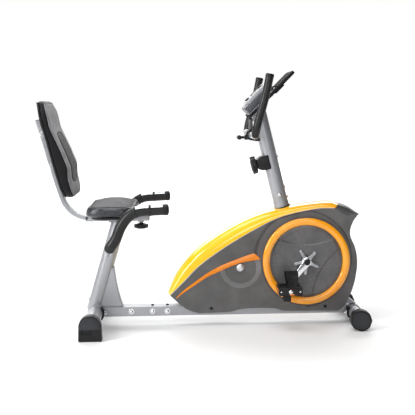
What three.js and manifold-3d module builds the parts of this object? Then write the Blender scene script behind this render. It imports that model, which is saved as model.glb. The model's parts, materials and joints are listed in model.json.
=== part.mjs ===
// Recumbent exercise bike, in millimetres. +X points forward, +Y to the rider's left, +Z up.
// The origin is the middle of the footprint, on the floor.
import * as THREE from "three";
import { mergeVertices } from "three/addons/utils/BufferGeometryUtils.js";
import Module from "manifold-3d";

const wasm = await Module();
wasm.setup();

// ---- driving dimensions --------------------------------------------------------------------
const GAP = 0.3; // between pieces that touch
const BEAM = { half: 30, low: 38, high: 76, wall: 2.5, rear: -403, splice: -226, front: 586 };
const REAR_FOOT = { x: -437, z: 57, r: 30, half: 282, capInner: 244, saddleR: 33.5 };
const FRONT_FOOT = { x: 617, z: 43, r: 25, half: 200, capInner: 152, saddleR: 29, capR: 41 };
const WHEEL = { x: 633, z: 26, r: 22, inner: 176, outer: 190, pin: 4 };
const TUBE_R = 30; // console post and seat post
const POST = { x: 299, z: 585, slope: 0.24, low: 440, stubTop: 520, wall: 3 };
const SEAT_POST = { x: -383.5, z: 269, slope: 0.303, top: 427 };
const CRANK = { x: 416, z: 260, length: 125, armAngle: -129, axleR: 10, half: 96 };
const DISC = { r: 146, ringR: 176, inner: 66.5, outer: 74, ringOuter: 84 };
const PEDAL = { inner: 105, outer: 203, halfX: 46, halfZ: 16, spindleR: 6.5 };
const FLYWHEEL = { x: 151, z: 236, r: 115, half: 18, axleR: 8, pulleyR: 22 };
const PULLEY_R = 130;
const BELT = { low: 33, high: 43, thick: 3, clear: 0.8 };
const IDLER_R = 18;
const MAGNET = { inner: 119, outer: 131, hingeAngle: 216, hingeR: 137 };
const CASING = { half: 64, wall: 4, round: 14 };
const RAIL = { rear: -470, front: -214, half: 25, low: 428, high: 451, wall: 4 };
const SEAT = { rear: -461, front: -254, half: 200, low: 461, high: 514 };
const BACK = { half: 155, dish: 15, board: 7, low: 530, high: 914, corner: 70, bulge: 6 };
const SIDE_BAR = { y: 270, r: 12.5, foamR: 21, z: 330 };
const BAR = { x: 202, z: 768, y: 215, r: 12.5, foamR: 16 };
const CONSOLE_TILT = -Math.PI / 4; // the console's own axes: x up the face, z out towards the rider
const STRAP = { half: 22, shift: 6, thick: 2.4, foot: 9, shoulder: 40, rise: 30 };
const ARM = { inner: 87, outer: 99, hubR: 19, eyeR: 13, half: 15, waist: 11 };
const SPIDER = { count: 5, first: 45, reach: 54, root: 11, tip: 6, outer: 83 };
const TENSION = { z: 661, start: 6, bend: 42, face: 58, half: 33, tall: 29, taper: 9, knobR: 36, knob: 22 };
const CLAMP = { r: 22, half: 26, neckHalf: 20, bossR: 10, drop: 10, lugR: 10, lugTop: 64 };
const HANDLE = { stemR: 6, start: 27.5, reach: 50, barR: 9, barHalf: 28 };
const PLATE = { low: 455, high: 469, start: 729, end: 974, half: 112, corner: 18 };
const RIB = { start: 869, end: 915, half: 60, drop: 8 };
const FOOT_PLATE = { start: 734, end: 806, half: 34 }; // on top of the post, under the console
const FACE = { start: 735, end: 878, half: 104, low: PLATE.high + GAP, deck: 498, high: 510 };
const RAISED = { start: 757, end: 868, half: 84 };
const BUTTON = { x: 775, pitch: 38, r: 9, travel: 1.5, low: FACE.high - 6, high: FACE.high + 3 };
const SCREEN = { x0: 797, x1: 855, half: 58, low: FACE.high - 4, high: FACE.high - 0.5 };
const SEAT_KNOB = { x: -247, r: 29, low: 393, thick: 23, lobes: 6, stemR: 8 };
const BAR_STEPS = 12;
const SIDE_STEPS = 15;
const BOLT_X = [BEAM.splice + 19, BEAM.splice + 80];
const BOLT = { r: 4, hole: 4.4, headR: 7.5, head: 4.5 };
const INSERT = BEAM.splice + 110; // the rear beam reaches this far into the main beam

// Side-view lines of the casing, as [x, z].
const TOP_LINE = [
  [-143, 138], [-104, 217], [-33, 300], [56, 364], [150, 417],
  [249, 457], [358, 482], [467, 496], [521, 497], [550, 489],
];
const SEAM_LINE = [
  [-134, 127], [-77, 183], [-15, 245], [68, 306], [167, 367],
  [278, 425], [354, 451], [461, 471], [531, 472],
];
const NOSE_LINE = [[550, 489], [572, 482], [597, 472], [629, 449]];
const NOSE_JOINT = [[531, 472], [580, 443], [607, 447], [640, 449]];
const FRONT_LINE = [
  [629, 449], [607, 418], [595, 385], [597, 354], [615, 311],
  [624, 255], [617, 188], [600, 128], [571, 72], [546, 53],
];
const FLOOR_LINE = [[546, 53], [331, 57], [290, 68], [220, 71], [150, 68], [110, 57], [-17, 53]];
const TAIL_LINE = [[-17, 53], [-60, 66], [-96, 92], [-128, 122], [-143, 138]];
// The centre line of the flat bar that carries the backrest, up from the rail.
const BACK_BAR = [
  [-460, 440], [-492, 449], [-520, 464], [-545, 490],
  [-560, 520], [-592, 622], [-620, 732], [-649, 835],
];
// Rear and front faces of the backrest at its sides, as [z, x].
const BACK_REAR = [[530, -529], [571, -550], [658, -574], [754, -598], [850, -623], [914, -631]];
const BACK_FRONT = [
  [530, -501], [545, -497], [609, -512], [653, -513], [715, -537],
  [807, -578], [873, -592], [909, -602], [914, -606],
];
const BACK_ROWS = [530, 533, 541, 555, 575, 600, 640, 680, 720, 760, 800, 844, 869, 889, 903, 911, 914];

// ---- solids --------------------------------------------------------------------------------
function toSolid(geometry) {
  const bare = geometry.index ? geometry.toNonIndexed() : geometry.clone();
  bare.deleteAttribute("normal");
  bare.deleteAttribute("uv");
  const merged = mergeVertices(bare, 1e-3);
  return new wasm.Manifold(
    new wasm.Mesh({
      numProp: 3,
      vertProperties: new Float32Array(merged.attributes.position.array),
      triVerts: new Uint32Array(merged.index.array),
    }),
  );
}

function toGeometry(solid) {
  const mesh = solid.getMesh();
  const points = new Float32Array(mesh.numVert * 3);
  for (let i = 0; i < mesh.numVert; i++) {
    points.set(mesh.vertProperties.subarray(i * mesh.numProp, i * mesh.numProp + 3), i * 3);
  }
  const geometry = new THREE.BufferGeometry();
  geometry.setAttribute("position", new THREE.BufferAttribute(points, 3));
  geometry.setIndex(new THREE.BufferAttribute(mesh.triVerts, 1));
  const flat = geometry.toNonIndexed();
  flat.computeVertexNormals();
  return flat;
}

const join = (...pieces) => toGeometry(pieces.map(toSolid).reduce((a, b) => a.add(b)));
const cut = (piece, ...tools) =>
  toGeometry(tools.map(toSolid).reduce((a, b) => a.subtract(b), toSolid(piece)));
const common = (...pieces) => toGeometry(pieces.map(toSolid).reduce((a, b) => a.intersect(b)));

function box(x0, x1, y0, y1, z0, z1) {
  const geometry = new THREE.BoxGeometry(x1 - x0, y1 - y0, z1 - z0);
  return geometry.translate((x0 + x1) / 2, (y0 + y1) / 2, (z0 + z1) / 2);
}

// A round bar between two points.
function rod(from, to, r, sides = 14) {
  const a = new THREE.Vector3(...from);
  const b = new THREE.Vector3(...to);
  const along = b.clone().sub(a);
  const geometry = new THREE.CylinderGeometry(r, r, along.length(), sides);
  const turn = new THREE.Quaternion().setFromUnitVectors(
    new THREE.Vector3(0, 1, 0),
    along.clone().normalize(),
  );
  const middle = a.add(b).multiplyScalar(0.5);
  return geometry.applyQuaternion(turn).translate(middle.x, middle.y, middle.z);
}

const across = (x, z, r, y0, y1, sides = 14) => rod([x, y0, z], [x, y1, z], r, sides);
const polygon = (points) => new THREE.Shape(points.map(([x, z]) => new THREE.Vector2(x, z)));

// A side-view outline in X and Z, made solid from y0 to y1. round bevels its edges inwards.
function slab(shape, y0, y1, round = 0, inset = 0, steps = 2) {
  const depth = y1 - y0 - 2 * round;
  const geometry = new THREE.ExtrudeGeometry(shape, {
    depth,
    curveSegments: 5,
    bevelEnabled: round > 0 || inset > 0,
    bevelThickness: round,
    bevelSize: round,
    bevelOffset: -round - inset,
    bevelSegments: steps,
  });
  return geometry.rotateX(Math.PI / 2).translate(0, y1 - round, 0);
}

// A plan outline in X and Y, made solid from z0 to z1.
function plate(shape, z0, z1, round = 0, steps = 2) {
  const geometry = new THREE.ExtrudeGeometry(shape, {
    depth: z1 - z0 - 2 * round,
    curveSegments: 3,
    bevelEnabled: round > 0,
    bevelThickness: round,
    bevelSize: round,
    bevelOffset: -round,
    bevelSegments: steps,
  });
  return geometry.translate(0, 0, z0 + round);
}

function roundedRectangle(x0, x1, y0, y1, r) {
  const shape = new THREE.Shape();
  shape.absarc(x1 - r, y1 - r, r, 0, Math.PI / 2);
  shape.absarc(x0 + r, y1 - r, r, Math.PI / 2, Math.PI);
  shape.absarc(x0 + r, y0 + r, r, Math.PI, 1.5 * Math.PI);
  shape.absarc(x1 - r, y0 + r, r, 1.5 * Math.PI, 2 * Math.PI);
  return shape;
}

// A round section carried along a smooth path.
function bentRod(points, r, steps, sides = 8) {
  const section = new THREE.Shape();
  section.absarc(0, 0, r, 0, 2 * Math.PI);
  const path = new THREE.CatmullRomCurve3(points.map((p) => new THREE.Vector3(...p)), false, "centripetal");
  return new THREE.ExtrudeGeometry(section, { steps, extrudePath: path, curveSegments: sides / 2 });
}

// A ring turned about an axis along Y through x, z. The profile holds [radius, y] pairs.
function turned(profile, x, z, sides = 24) {
  const geometry = new THREE.LatheGeometry(profile.map(([r, y]) => new THREE.Vector2(r, y)), sides);
  return geometry.translate(x, 0, z);
}

// Closed rings of points skinned one to the next, with flat ends.
function loft(rings) {
  const count = rings[0].length;
  const points = rings.flat();
  const faces = [];
  for (let ring = 0; ring + 1 < rings.length; ring++) {
    for (let i = 0; i < count; i++) {
      const a = ring * count + i;
      const b = ring * count + ((i + 1) % count);
      faces.push(a, b, b + count, a, b + count, a + count);
    }
  }
  const last = (rings.length - 1) * count;
  for (let i = 1; i + 1 < count; i++) {
    faces.push(0, i + 1, i, last, last + i, last + i + 1);
  }
  const geometry = new THREE.BufferGeometry();
  geometry.setAttribute("position", new THREE.Float32BufferAttribute(points.flat(), 3));
  geometry.setIndex(faces);
  return geometry;
}

const smooth = (points, count) =>
  new THREE.SplineCurve(points.map(([x, z]) => new THREE.Vector2(x, z)))
    .getPoints(count)
    .map((p) => [p.x, p.y]);
const mirrorY = (geometry) => geometry.clone().scale(1, -1, 1);

// ---- materials -----------------------------------------------------------------------------
const finish = (color, roughness, metalness) =>
  new THREE.MeshStandardMaterial({ color, roughness, metalness });
const silverPaint = () => finish(0xc9ccd2, 0.4, 0.3);
const chrome = () => finish(0xd8dadd, 0.15, 1);
const steel = () => finish(0x8d9094, 0.35, 0.9);
const blackPlastic = () => finish(0x1d1e20, 0.5, 0);
const foam = () => finish(0x2b2c2f, 0.85, 0);
const greyShell = () => finish(0x5f5f62, 0.45, 0);
const yellowShell = () => finish(0xfab41e, 0.2, 0);
const orange = () => finish(0xf0801a, 0.2, 0);
const rubber = () => finish(0x161617, 0.8, 0);
const vinyl = () => finish(0x6f7074, 0.6, 0);

const bike = new THREE.Group();
function add(name, geometry, material) {
  const mesh = new THREE.Mesh(geometry, material);
  mesh.name = name;
  bike.add(mesh);
}
// The same piece on both sides: made for the rider's right, which is -Y.
function addPair(name, geometry, material) {
  add(`${name}_right`, geometry, material());
  const other = new THREE.Mesh(geometry, material());
  other.name = `${name}_left`;
  other.scale.y = -1;
  bike.add(other);
}

// ---- places along the two slanted posts ----------------------------------------------------
const postX = (z) => POST.x - POST.slope * (z - POST.z);
const postPoint = (z) => [postX(z), 0, z];
const seatPostX = (z) => SEAT_POST.x + SEAT_POST.slope * (z - SEAT_POST.z);
const seatPostPoint = (z) => [seatPostX(z), 0, z];
const postCore = (r, z0, z1, sides = 20) => rod(postPoint(z0), postPoint(z1), r, sides);

// ---- floor frame ---------------------------------------------------------------------------
const beamMid = (BEAM.low + BEAM.high) / 2;

function beamBlock(x0, x1, inset) {
  return box(x0, x1, -BEAM.half + inset, BEAM.half - inset, BEAM.low + inset, BEAM.high - inset);
}

function mainBeam() {
  const idler = idlerCentre();
  const hinge = magnetHinge();
  const shell = cut(
    beamBlock(BEAM.splice + GAP, BEAM.front, 0),
    beamBlock(BEAM.splice - 1, BEAM.front + 1, BEAM.wall),
    ...BOLT_X.map((x) => across(x, beamMid, BOLT.hole, -40, 40, 16)),
  );
  const neck = slab(
    polygon([[505, BEAM.high - 1], [548, 100], [584, 104], [604, 92], [628, 74], [600, BEAM.high - 1]]),
    -22,
    22,
  );
  const idlerMast = join(
    box(idler[0] - 9, idler[0] + 9, 46, 51, BEAM.high + 3, idler[1] + 9),
    across(idler[0], idler[1], 5, BELT.low - 2, 48, 16),
    box(idler[0] - 9, idler[0] + 9, 20, 29, BEAM.high - 2, BEAM.high + 7),
    box(idler[0] - 9, idler[0] + 9, 20, 51, BEAM.high + 3, BEAM.high + 7),
  );
  const magnetMast = join(
    box(hinge[0] - 7, hinge[0] + 7, 24, 29, BEAM.high - 2, hinge[1] + 8),
    across(hinge[0], hinge[1], 4, -22, 26, 16),
  );
  return cut(
    join(shell, neck, idlerMast, magnetMast),
    across(FRONT_FOOT.x, FRONT_FOOT.z, FRONT_FOOT.saddleR + GAP, -60, 60, 18),
  );
}

function rearFrame() {
  const tube = cut(
    join(beamBlock(BEAM.rear - 6, BEAM.splice, 0), beamBlock(BEAM.splice - 1, INSERT, BEAM.wall + 0.5)),
    beamBlock(BEAM.rear - 9, INSERT + 1, 2 * BEAM.wall + 0.5),
    ...BOLT_X.map((x) => across(x, beamMid, BOLT.hole, -40, 40, 16)),
  );
  const edge = new THREE.Shape();
  edge.moveTo(-455, BEAM.high - 1);
  edge.lineTo(-324, BEAM.high - 1);
  edge.quadraticCurveTo(-351, 150, -358, 240);
  edge.lineTo(-400, 240);
  edge.closePath();
  return cut(
    join(tube, slab(edge, -20, 20, 5, 0, 2)),
    rod(seatPostPoint(20), seatPostPoint(300), TUBE_R + GAP, 18),
    across(REAR_FOOT.x, REAR_FOOT.z, REAR_FOOT.saddleR + GAP, -60, 60, 18),
    beamBlock(BEAM.rear - 9, BEAM.splice - 8, BEAM.wall),
  );
}

function seatPost() {
  const tube = rod(seatPostPoint(40), seatPostPoint(SEAT_POST.top + 14), TUBE_R, 18);
  const bore = rod(seatPostPoint(20), seatPostPoint(SEAT_POST.top - 8), TUBE_R - 3, 18);
  const head = box(-375, -308, -18, 18, SEAT_POST.top - 3, RAIL.high - RAIL.wall - 1);
  return cut(
    join(cut(tube, bore, box(-500, -200, -60, 60, SEAT_POST.top, 500)), head),
    across(REAR_FOOT.x, REAR_FOOT.z, REAR_FOOT.saddleR + GAP, -60, 60, 18),
    beamBlock(BEAM.rear - 20, BEAM.splice, -GAP),
    box(-520, -380, -60, 60, 0, 60),
    across(seatPostX(SIDE_BAR.z), SIDE_BAR.z, SIDE_BAR.r + 0.4, -60, 60, 20),
  );
}

function stabilizer(foot) {
  const bar = across(foot.x, foot.z, foot.r, -(foot.capInner + 20), foot.capInner + 20, 18);
  const saddle = across(foot.x, foot.z, foot.saddleR, -34, 34, 18);
  return cut(join(bar, saddle), across(foot.x, foot.z, foot.r - 2.5, -400, 400, 18));
}

// End caps of the rider's right-hand side.
function rearCap() {
  const outline = new THREE.Shape();
  outline.moveTo(-45, 3);
  outline.lineTo(-42, 0);
  outline.lineTo(42, 0);
  outline.lineTo(45, 3);
  outline.lineTo(43, REAR_FOOT.z);
  outline.absarc(0, REAR_FOOT.z, 43, 0, Math.PI);
  outline.closePath();
  const body = slab(outline, -REAR_FOOT.half, -REAR_FOOT.capInner, 2, 0, 1).translate(REAR_FOOT.x, 0, 0);
  return cut(
    body,
    across(REAR_FOOT.x, REAR_FOOT.z, REAR_FOOT.r + GAP, -REAR_FOOT.capInner - 20.5, 0, 18),
    box(-472, -428, -REAR_FOOT.half - 1, -REAR_FOOT.half + 4, 30, 44),
  );
}

function frontCap() {
  const r = FRONT_FOOT.capR;
  const outline = polygon([
    [-r + 3, 14], [-20, 0], [14, 0], [r - 8, 12], [r, 32], [r, 52], [r - 12, 73], [14, 2 * r + 1],
    [-14, 2 * r + 1], [-r + 10, 72], [-r, 52],
  ]);
  const body = slab(outline, -FRONT_FOOT.half, -FRONT_FOOT.capInner, 4, 0, 2);
  body.translate(FRONT_FOOT.x - 1, 0, 0);
  return join(
    cut(
      body,
      across(FRONT_FOOT.x, FRONT_FOOT.z, FRONT_FOOT.r + GAP, -FRONT_FOOT.capInner - 20.5, 0, 18),
      across(WHEEL.x, WHEEL.z, WHEEL.r + 2, -WHEEL.outer - 0.5, -WHEEL.inner + 0.5, 18),
    ),
    across(WHEEL.x, WHEEL.z, WHEEL.pin, -WHEEL.outer - 3, -WHEEL.inner + 2, 16),
  );
}

const transportWheel = () =>
  turned(
    [
      [WHEEL.pin + 0.4, -WHEEL.outer], [WHEEL.r - 2, -WHEEL.outer], [WHEEL.r, -WHEEL.outer + 2],
      [WHEEL.r, -WHEEL.inner - 2], [WHEEL.r - 2, -WHEEL.inner], [WHEEL.pin + 0.4, -WHEEL.inner],
      [WHEEL.pin + 0.4, -WHEEL.outer],
    ],
    WHEEL.x,
    WHEEL.z,
    22,
  );

function beamBolt(x) {
  return join(
    across(x, beamMid, BOLT.r, -BEAM.half - 4, BEAM.half + 4, 16),
    across(x, beamMid, BOLT.headR, -BEAM.half - BOLT.head, -BEAM.half - GAP, 6),
    across(x, beamMid, BOLT.headR, BEAM.half + GAP, BEAM.half + BOLT.head, 6),
  );
}

// ---- casing --------------------------------------------------------------------------------

const casingOutline = () =>
  polygon([
    ...smooth(TOP_LINE, 14),
    ...NOSE_LINE.slice(1),
    ...smooth(FRONT_LINE, 12).slice(1),
    ...FLOOR_LINE.slice(1),
    ...smooth(TAIL_LINE, 6).slice(1, -1),
  ].reverse());

function casingShell() {
  const outer = slab(casingOutline(), -CASING.half, CASING.half, CASING.round);
  const inner = slab(
    casingOutline(), -CASING.half + CASING.wall, CASING.half - CASING.wall, CASING.round - 2, CASING.wall,
  );
  return cut(outer, inner);
}

const above = (drop) =>
  slab(
    polygon([
      ...smooth(SEAM_LINE, 16).map(([x, z]) => [x, z - drop]),
      [550, 472 - drop], [550, 700], [-220, 700], [-220, 100 - drop],
    ]),
    -90,
    90,
  );
const beyond = (drop) =>
  slab(
    polygon([
      ...NOSE_JOINT.map(([x, z]) => [x - drop, z - drop]),
      [680, 449 - drop], [680, 700], [531 - drop, 700],
    ]),
    -90,
    90,
  );

function casing() {
  const shell = cut(
    casingShell(),
    postCore(TUBE_R + 0.6, 300, 700),
    beamBlock(-200, 700, -0.6),
    across(CRANK.x, CRANK.z, 16, -90, 90, 18),
    box(560, 700, -23, 23, 60, 108),
  );
  const lower = cut(shell, above(GAP), beyond(GAP));
  return {
    right: common(lower, box(-300, 800, -100, -GAP / 2, 0, 800)),
    left: common(lower, box(-300, 800, GAP / 2, 100, 0, 800)),
    top: cut(common(shell, above(0)), beyond(GAP)),
    nose: common(shell, beyond(0)),
  };
}

// ---- drive ---------------------------------------------------------------------------------
// Where the belt's two straight runs leave the pulleys: unit normals, lower run first.
function beltNormals() {
  const dx = FLYWHEEL.x - CRANK.x;
  const dz = FLYWHEEL.z - CRANK.z;
  const heading = Math.atan2(dz, dx);
  const spread = Math.acos((PULLEY_R - FLYWHEEL.pulleyR) / Math.hypot(dx, dz));
  return { heading, spread };
}

function beltLoop(extra) {
  const { heading, spread } = beltNormals();
  const shape = new THREE.Path();
  shape.absarc(CRANK.x, CRANK.z, PULLEY_R + extra, heading + spread, heading + 2 * Math.PI - spread);
  shape.absarc(FLYWHEEL.x, FLYWHEEL.z, FLYWHEEL.pulleyR + extra, heading - spread, heading + spread);
  return shape.getPoints(14);
}

function driveBelt() {
  const shape = new THREE.Shape(beltLoop(BELT.clear + BELT.thick));
  shape.holes.push(new THREE.Path(beltLoop(BELT.clear)));
  return slab(shape, BELT.low, BELT.high);
}

function idlerCentre() {
  const { heading, spread } = beltNormals();
  const angle = heading + spread;
  const out = [Math.cos(angle), Math.sin(angle)];
  const reach = BELT.thick + BELT.clear + GAP + IDLER_R;
  return [0, 1].map((i) => {
    const big = [CRANK.x, CRANK.z][i] + PULLEY_R * out[i];
    const small = [FLYWHEEL.x, FLYWHEEL.z][i] + FLYWHEEL.pulleyR * out[i];
    return (big + small) / 2 + reach * out[i];
  });
}

const idlerPulley = () => {
  const [x, z] = idlerCentre();
  const bore = 5.4;
  const profile = [
    [bore, BELT.low], [IDLER_R, BELT.low], [IDLER_R, BELT.high], [bore, BELT.high], [bore, BELT.low],
  ];
  return turned(profile, x, z, 18);
};

function magnetHinge() {
  const angle = THREE.MathUtils.degToRad(MAGNET.hingeAngle);
  return [FLYWHEEL.x + MAGNET.hingeR * Math.cos(angle), FLYWHEEL.z + MAGNET.hingeR * Math.sin(angle)];
}

// An arc that holds the magnets over the flywheel's rim, on a hinge at its lower end.
function magnetBracket() {
  const start = THREE.MathUtils.degToRad(156);
  const end = THREE.MathUtils.degToRad(MAGNET.hingeAngle);
  const shape = new THREE.Shape();
  shape.absarc(0, 0, MAGNET.outer, start, end);
  shape.absarc(0, 0, MAGNET.inner, end, start, true);
  const arc = slab(shape, -20, 20).translate(FLYWHEEL.x, 0, FLYWHEEL.z);
  const [x, z] = magnetHinge();
  return cut(join(arc, across(x, z, 10, -20, 20, 20)), across(x, z, 4.5, -30, 30, 16));
}

const flywheel = () =>
  turned(
    [
      [FLYWHEEL.axleR + 0.4, -FLYWHEEL.half], [30, -FLYWHEEL.half], [34, -8], [88, -8], [92, -FLYWHEEL.half],
      [FLYWHEEL.r, -FLYWHEEL.half], [FLYWHEEL.r, FLYWHEEL.half], [92, FLYWHEEL.half], [88, 8], [34, 8],
      [30, FLYWHEEL.half], [FLYWHEEL.pulleyR, BELT.low - 2], [FLYWHEEL.pulleyR, BELT.high + 1],
      [FLYWHEEL.axleR + 0.4, BELT.high + 1], [FLYWHEEL.axleR + 0.4, -FLYWHEEL.half],
    ],
    FLYWHEEL.x,
    FLYWHEEL.z,
    22,
  );

// The fixed axle and the two frame plates that carry it.
const flywheelAxle = () =>
  join(
    across(FLYWHEEL.x, FLYWHEEL.z, FLYWHEEL.axleR, -30, 53, 20),
    box(FLYWHEEL.x - 16, FLYWHEEL.x + 16, -29, -24, BEAM.high + GAP, FLYWHEEL.z + 16),
    box(FLYWHEEL.x - 16, FLYWHEEL.x + 16, 47, 52, BEAM.high + GAP, FLYWHEEL.z + 16),
  );

const drivePulley = () =>
  turned(
    [
      [CRANK.axleR + GAP, 30], [26, 30], [28, 36], [112, 36], [116, BELT.low - 1], [PULLEY_R, BELT.low - 1],
      [PULLEY_R, BELT.high + 1], [CRANK.axleR + GAP, BELT.high + 1], [CRANK.axleR + GAP, 30],
    ],
    CRANK.x,
    CRANK.z,
  );

// The slanted head tube inside the casing, with the bottom bracket shell welded to it.
function headFrame() {
  const tube = postCore(TUBE_R - POST.wall - 0.5, BEAM.high - 20, POST.stubTop);
  const shell = across(CRANK.x, CRANK.z, 22, -50, 27, 18);
  return cut(
    join(tube, shell),
    across(CRANK.x, CRANK.z, CRANK.axleR + 0.4, -90, 90, 18),
    box(200, 600, -60, 60, 0, BEAM.high + GAP),
  );
}

// A round-edged ring from the disc's rim outwards.
function orangeRing() {
  const middle = (DISC.r + DISC.ringR) / 2;
  const half = (DISC.ringR - DISC.r) / 2 - GAP;
  const profile = [[middle - half, -DISC.inner]];
  for (let i = 0; i <= 4; i++) {
    const angle = (Math.PI * i) / 4;
    profile.push([
      middle - half * Math.cos(angle),
      -DISC.outer - (DISC.ringOuter - DISC.outer) * Math.sin(angle),
    ]);
  }
  profile.push([middle + half, -DISC.inner], [middle - half, -DISC.inner]);
  return turned(profile, CRANK.x, CRANK.z, 30);
}

const crankDisc = () =>
  turned(
    [
      [CRANK.axleR + GAP, -DISC.inner], [CRANK.axleR + GAP, -DISC.outer], [DISC.r, -DISC.outer],
      [DISC.r, -DISC.inner], [CRANK.axleR + GAP, -DISC.inner],
    ],
    CRANK.x,
    CRANK.z,
    30,
  );

function crankEnd() {
  const angle = THREE.MathUtils.degToRad(CRANK.armAngle);
  return [CRANK.x + CRANK.length * Math.cos(angle), CRANK.z + CRANK.length * Math.sin(angle)];
}

// The right-hand crank lies along the arm angle; half a turn about the axle makes the other.
function crankArm(spider) {
  const outline = polygon([
    [0, -ARM.half], [CRANK.length / 2, -ARM.waist], [CRANK.length, -ARM.waist],
    [CRANK.length, ARM.waist], [CRANK.length / 2, ARM.waist], [0, ARM.half],
  ]);
  const pieces = [
    slab(outline, -ARM.outer, -ARM.inner, 3, 0, 2),
    across(0, 0, ARM.hubR, -ARM.outer, -DISC.outer - 1, 18),
    across(CRANK.length, 0, ARM.eyeR, -ARM.outer, -ARM.inner, 18),
  ];
  const leg = polygon([
    [0, -SPIDER.root], [SPIDER.reach - 4, -SPIDER.tip], [SPIDER.reach, 0],
    [SPIDER.reach - 4, SPIDER.tip], [0, SPIDER.root],
  ]);
  for (let i = 0; i < (spider ? SPIDER.count : 0); i++) {
    const turn = THREE.MathUtils.degToRad(SPIDER.first + (360 * i) / SPIDER.count - CRANK.armAngle);
    pieces.push(slab(leg, -SPIDER.outer, -DISC.outer - 1).rotateY(-turn));
  }
  const arm = cut(
    join(...pieces),
    across(0, 0, CRANK.axleR + GAP, -120, 0, 18),
    across(CRANK.length, 0, PEDAL.spindleR + GAP, -120, 0, 20),
  );
  return arm.rotateY(THREE.MathUtils.degToRad(-CRANK.armAngle)).translate(CRANK.x, 0, CRANK.z);
}

const spindle = () => {
  const [x, z] = crankEnd();
  return across(x, z, PEDAL.spindleR, -PEDAL.outer + 6, -ARM.inner, 20);
};

function pedalBody() {
  const [x, z] = crankEnd();
  const low = -PEDAL.outer;
  const high = -PEDAL.inner;
  const side = roundedRectangle(-PEDAL.halfX, PEDAL.halfX, -PEDAL.halfZ, PEDAL.halfZ, 6);
  const tread = slab(side, low, high, 2, 0, 1);
  const weight = box(-26, 6, low + 28, high - 28, -46, -PEDAL.halfZ + 1);
  const window1 = box(14, 36, low + 16, high - 16, -40, 40);
  const window2 = box(-36, -14, low + 16, high - 16, -PEDAL.halfZ + 5, 40);
  return cut(
    join(tread, weight), window1, window2, across(0, 0, PEDAL.spindleR + 0.4, low - 1, high + 1, 20),
  ).translate(x, 0, z);
}

// The foot strap: an arch over the pedal, fixed to its two ends.
function pedalStrap() {
  const [x, z] = crankEnd();
  const reach = (PEDAL.outer - PEDAL.inner) / 2 + GAP;
  const arch = (extra, foot) => {
    const shape = new THREE.Shape();
    shape.moveTo(-reach - extra, foot);
    shape.lineTo(reach + extra, foot);
    shape.lineTo(reach + extra, STRAP.shoulder);
    shape.absellipse(0, STRAP.shoulder, reach + extra, STRAP.rise + extra, 0, Math.PI);
    shape.closePath();
    return shape;
  };
  const solid = (extra, foot, half) => {
    const options = { depth: 2 * half, bevelEnabled: false, curveSegments: 7 };
    return new THREE.ExtrudeGeometry(arch(extra, foot), options)
      .translate(0, 0, -half)
      .rotateX(Math.PI / 2)
      .rotateZ(Math.PI / 2);
  };
  const band = cut(solid(STRAP.thick, STRAP.foot, STRAP.half), solid(0, 0, STRAP.half + 3));
  return band.translate(x + STRAP.shift, -(PEDAL.inner + PEDAL.outer) / 2, z);
}

// ---- console post, tension control and handlebar -------------------------------------------
const toConsole = (geometry) => geometry.rotateY(CONSOLE_TILT);

function uprightPost() {
  const seat = toConsole(
    box(
      FOOT_PLATE.start, FOOT_PLATE.end, -FOOT_PLATE.half, FOOT_PLATE.half, PLATE.low - 8, PLATE.low - GAP,
    ),
  );
  const tube = cut(postCore(TUBE_R, POST.low, 905), toConsole(box(500, 1200, -90, 90, PLATE.low - 4, 700)));
  return cut(join(tube, seat), postCore(TUBE_R - POST.wall, POST.low - 10, 800));
}

// The control's own axes: x out of the back of the post, z up along it.
function onPost(geometry, z) {
  const lean = Math.atan(POST.slope);
  return geometry.rotateZ(Math.PI).rotateY(-lean).translate(postX(z), 0, z);
}

function tensionHousing() {
  const shape = polygon([
    [TENSION.start, -TENSION.tall], [TENSION.bend, -TENSION.tall],
    [TENSION.face, -TENSION.tall + TENSION.taper], [TENSION.face, TENSION.tall - TENSION.taper],
    [TENSION.bend, TENSION.tall], [TENSION.start, TENSION.tall],
  ]);
  return cut(
    onPost(slab(shape, -TENSION.half, TENSION.half, 4, 0, 2), TENSION.z),
    postCore(TUBE_R + GAP, 560, 760),
  );
}

function starKnob(r, lobes, thick) {
  const points = [];
  const count = lobes * 4;
  for (let i = 0; i < count; i++) {
    const angle = (2 * Math.PI * i) / count;
    const radius = r * (0.9 + 0.1 * Math.cos(lobes * angle));
    points.push([radius * Math.cos(angle), radius * Math.sin(angle)]);
  }
  return plate(polygon(points), 0, thick, 3, 1);
}

function tensionKnob() {
  const knob = starKnob(TENSION.knobR, 8, TENSION.knob).rotateY(Math.PI / 2);
  return onPost(knob.translate(TENSION.face + 1, 0, 0), TENSION.z);
}

// The right-hand half of the handlebar's centre line, from the clamp to the tip.
const barPath = () => [
  [BAR.x, -60, BAR.z], [BAR.x, -150, BAR.z], [BAR.x, -185, BAR.z + 2], [BAR.x + 1, -206, BAR.z + 12],
  [BAR.x + 5, -BAR.y, BAR.z + 34], [BAR.x + 13, -BAR.y, BAR.z + 65], [BAR.x + 26, -BAR.y, BAR.z + 108],
  [BAR.x + 41, -BAR.y, BAR.z + 164], [BAR.x + 54, -BAR.y, BAR.z + 226],
];

function handlebar() {
  const right = bentRod(barPath(), BAR.r, BAR_STEPS);
  return join(across(BAR.x, BAR.z, BAR.r, -62, 62, 18), right, mirrorWound(right));
}

// A mirrored copy with its faces still pointing out.
function mirrorWound(geometry) {
  return toGeometry(toSolid(geometry).mirror([0, 1, 0]));
}

function barGrip() {
  const path = barPath().slice(3);
  const [x, y, z] = path.at(-1);
  const tip = rod([x, y, z], [x + 2, y, z + 8], BAR.foamR - 1, 12);
  return cut(
    join(bentRod(path, BAR.foamR, 6, 10), tip),
    bentRod(barPath(), BAR.r + 0.5, BAR_STEPS),
    rod([x - 0.4, y, z - 2], [x + 0.2, y, z + 1], BAR.r + 0.5, 16),
  );
}

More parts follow.
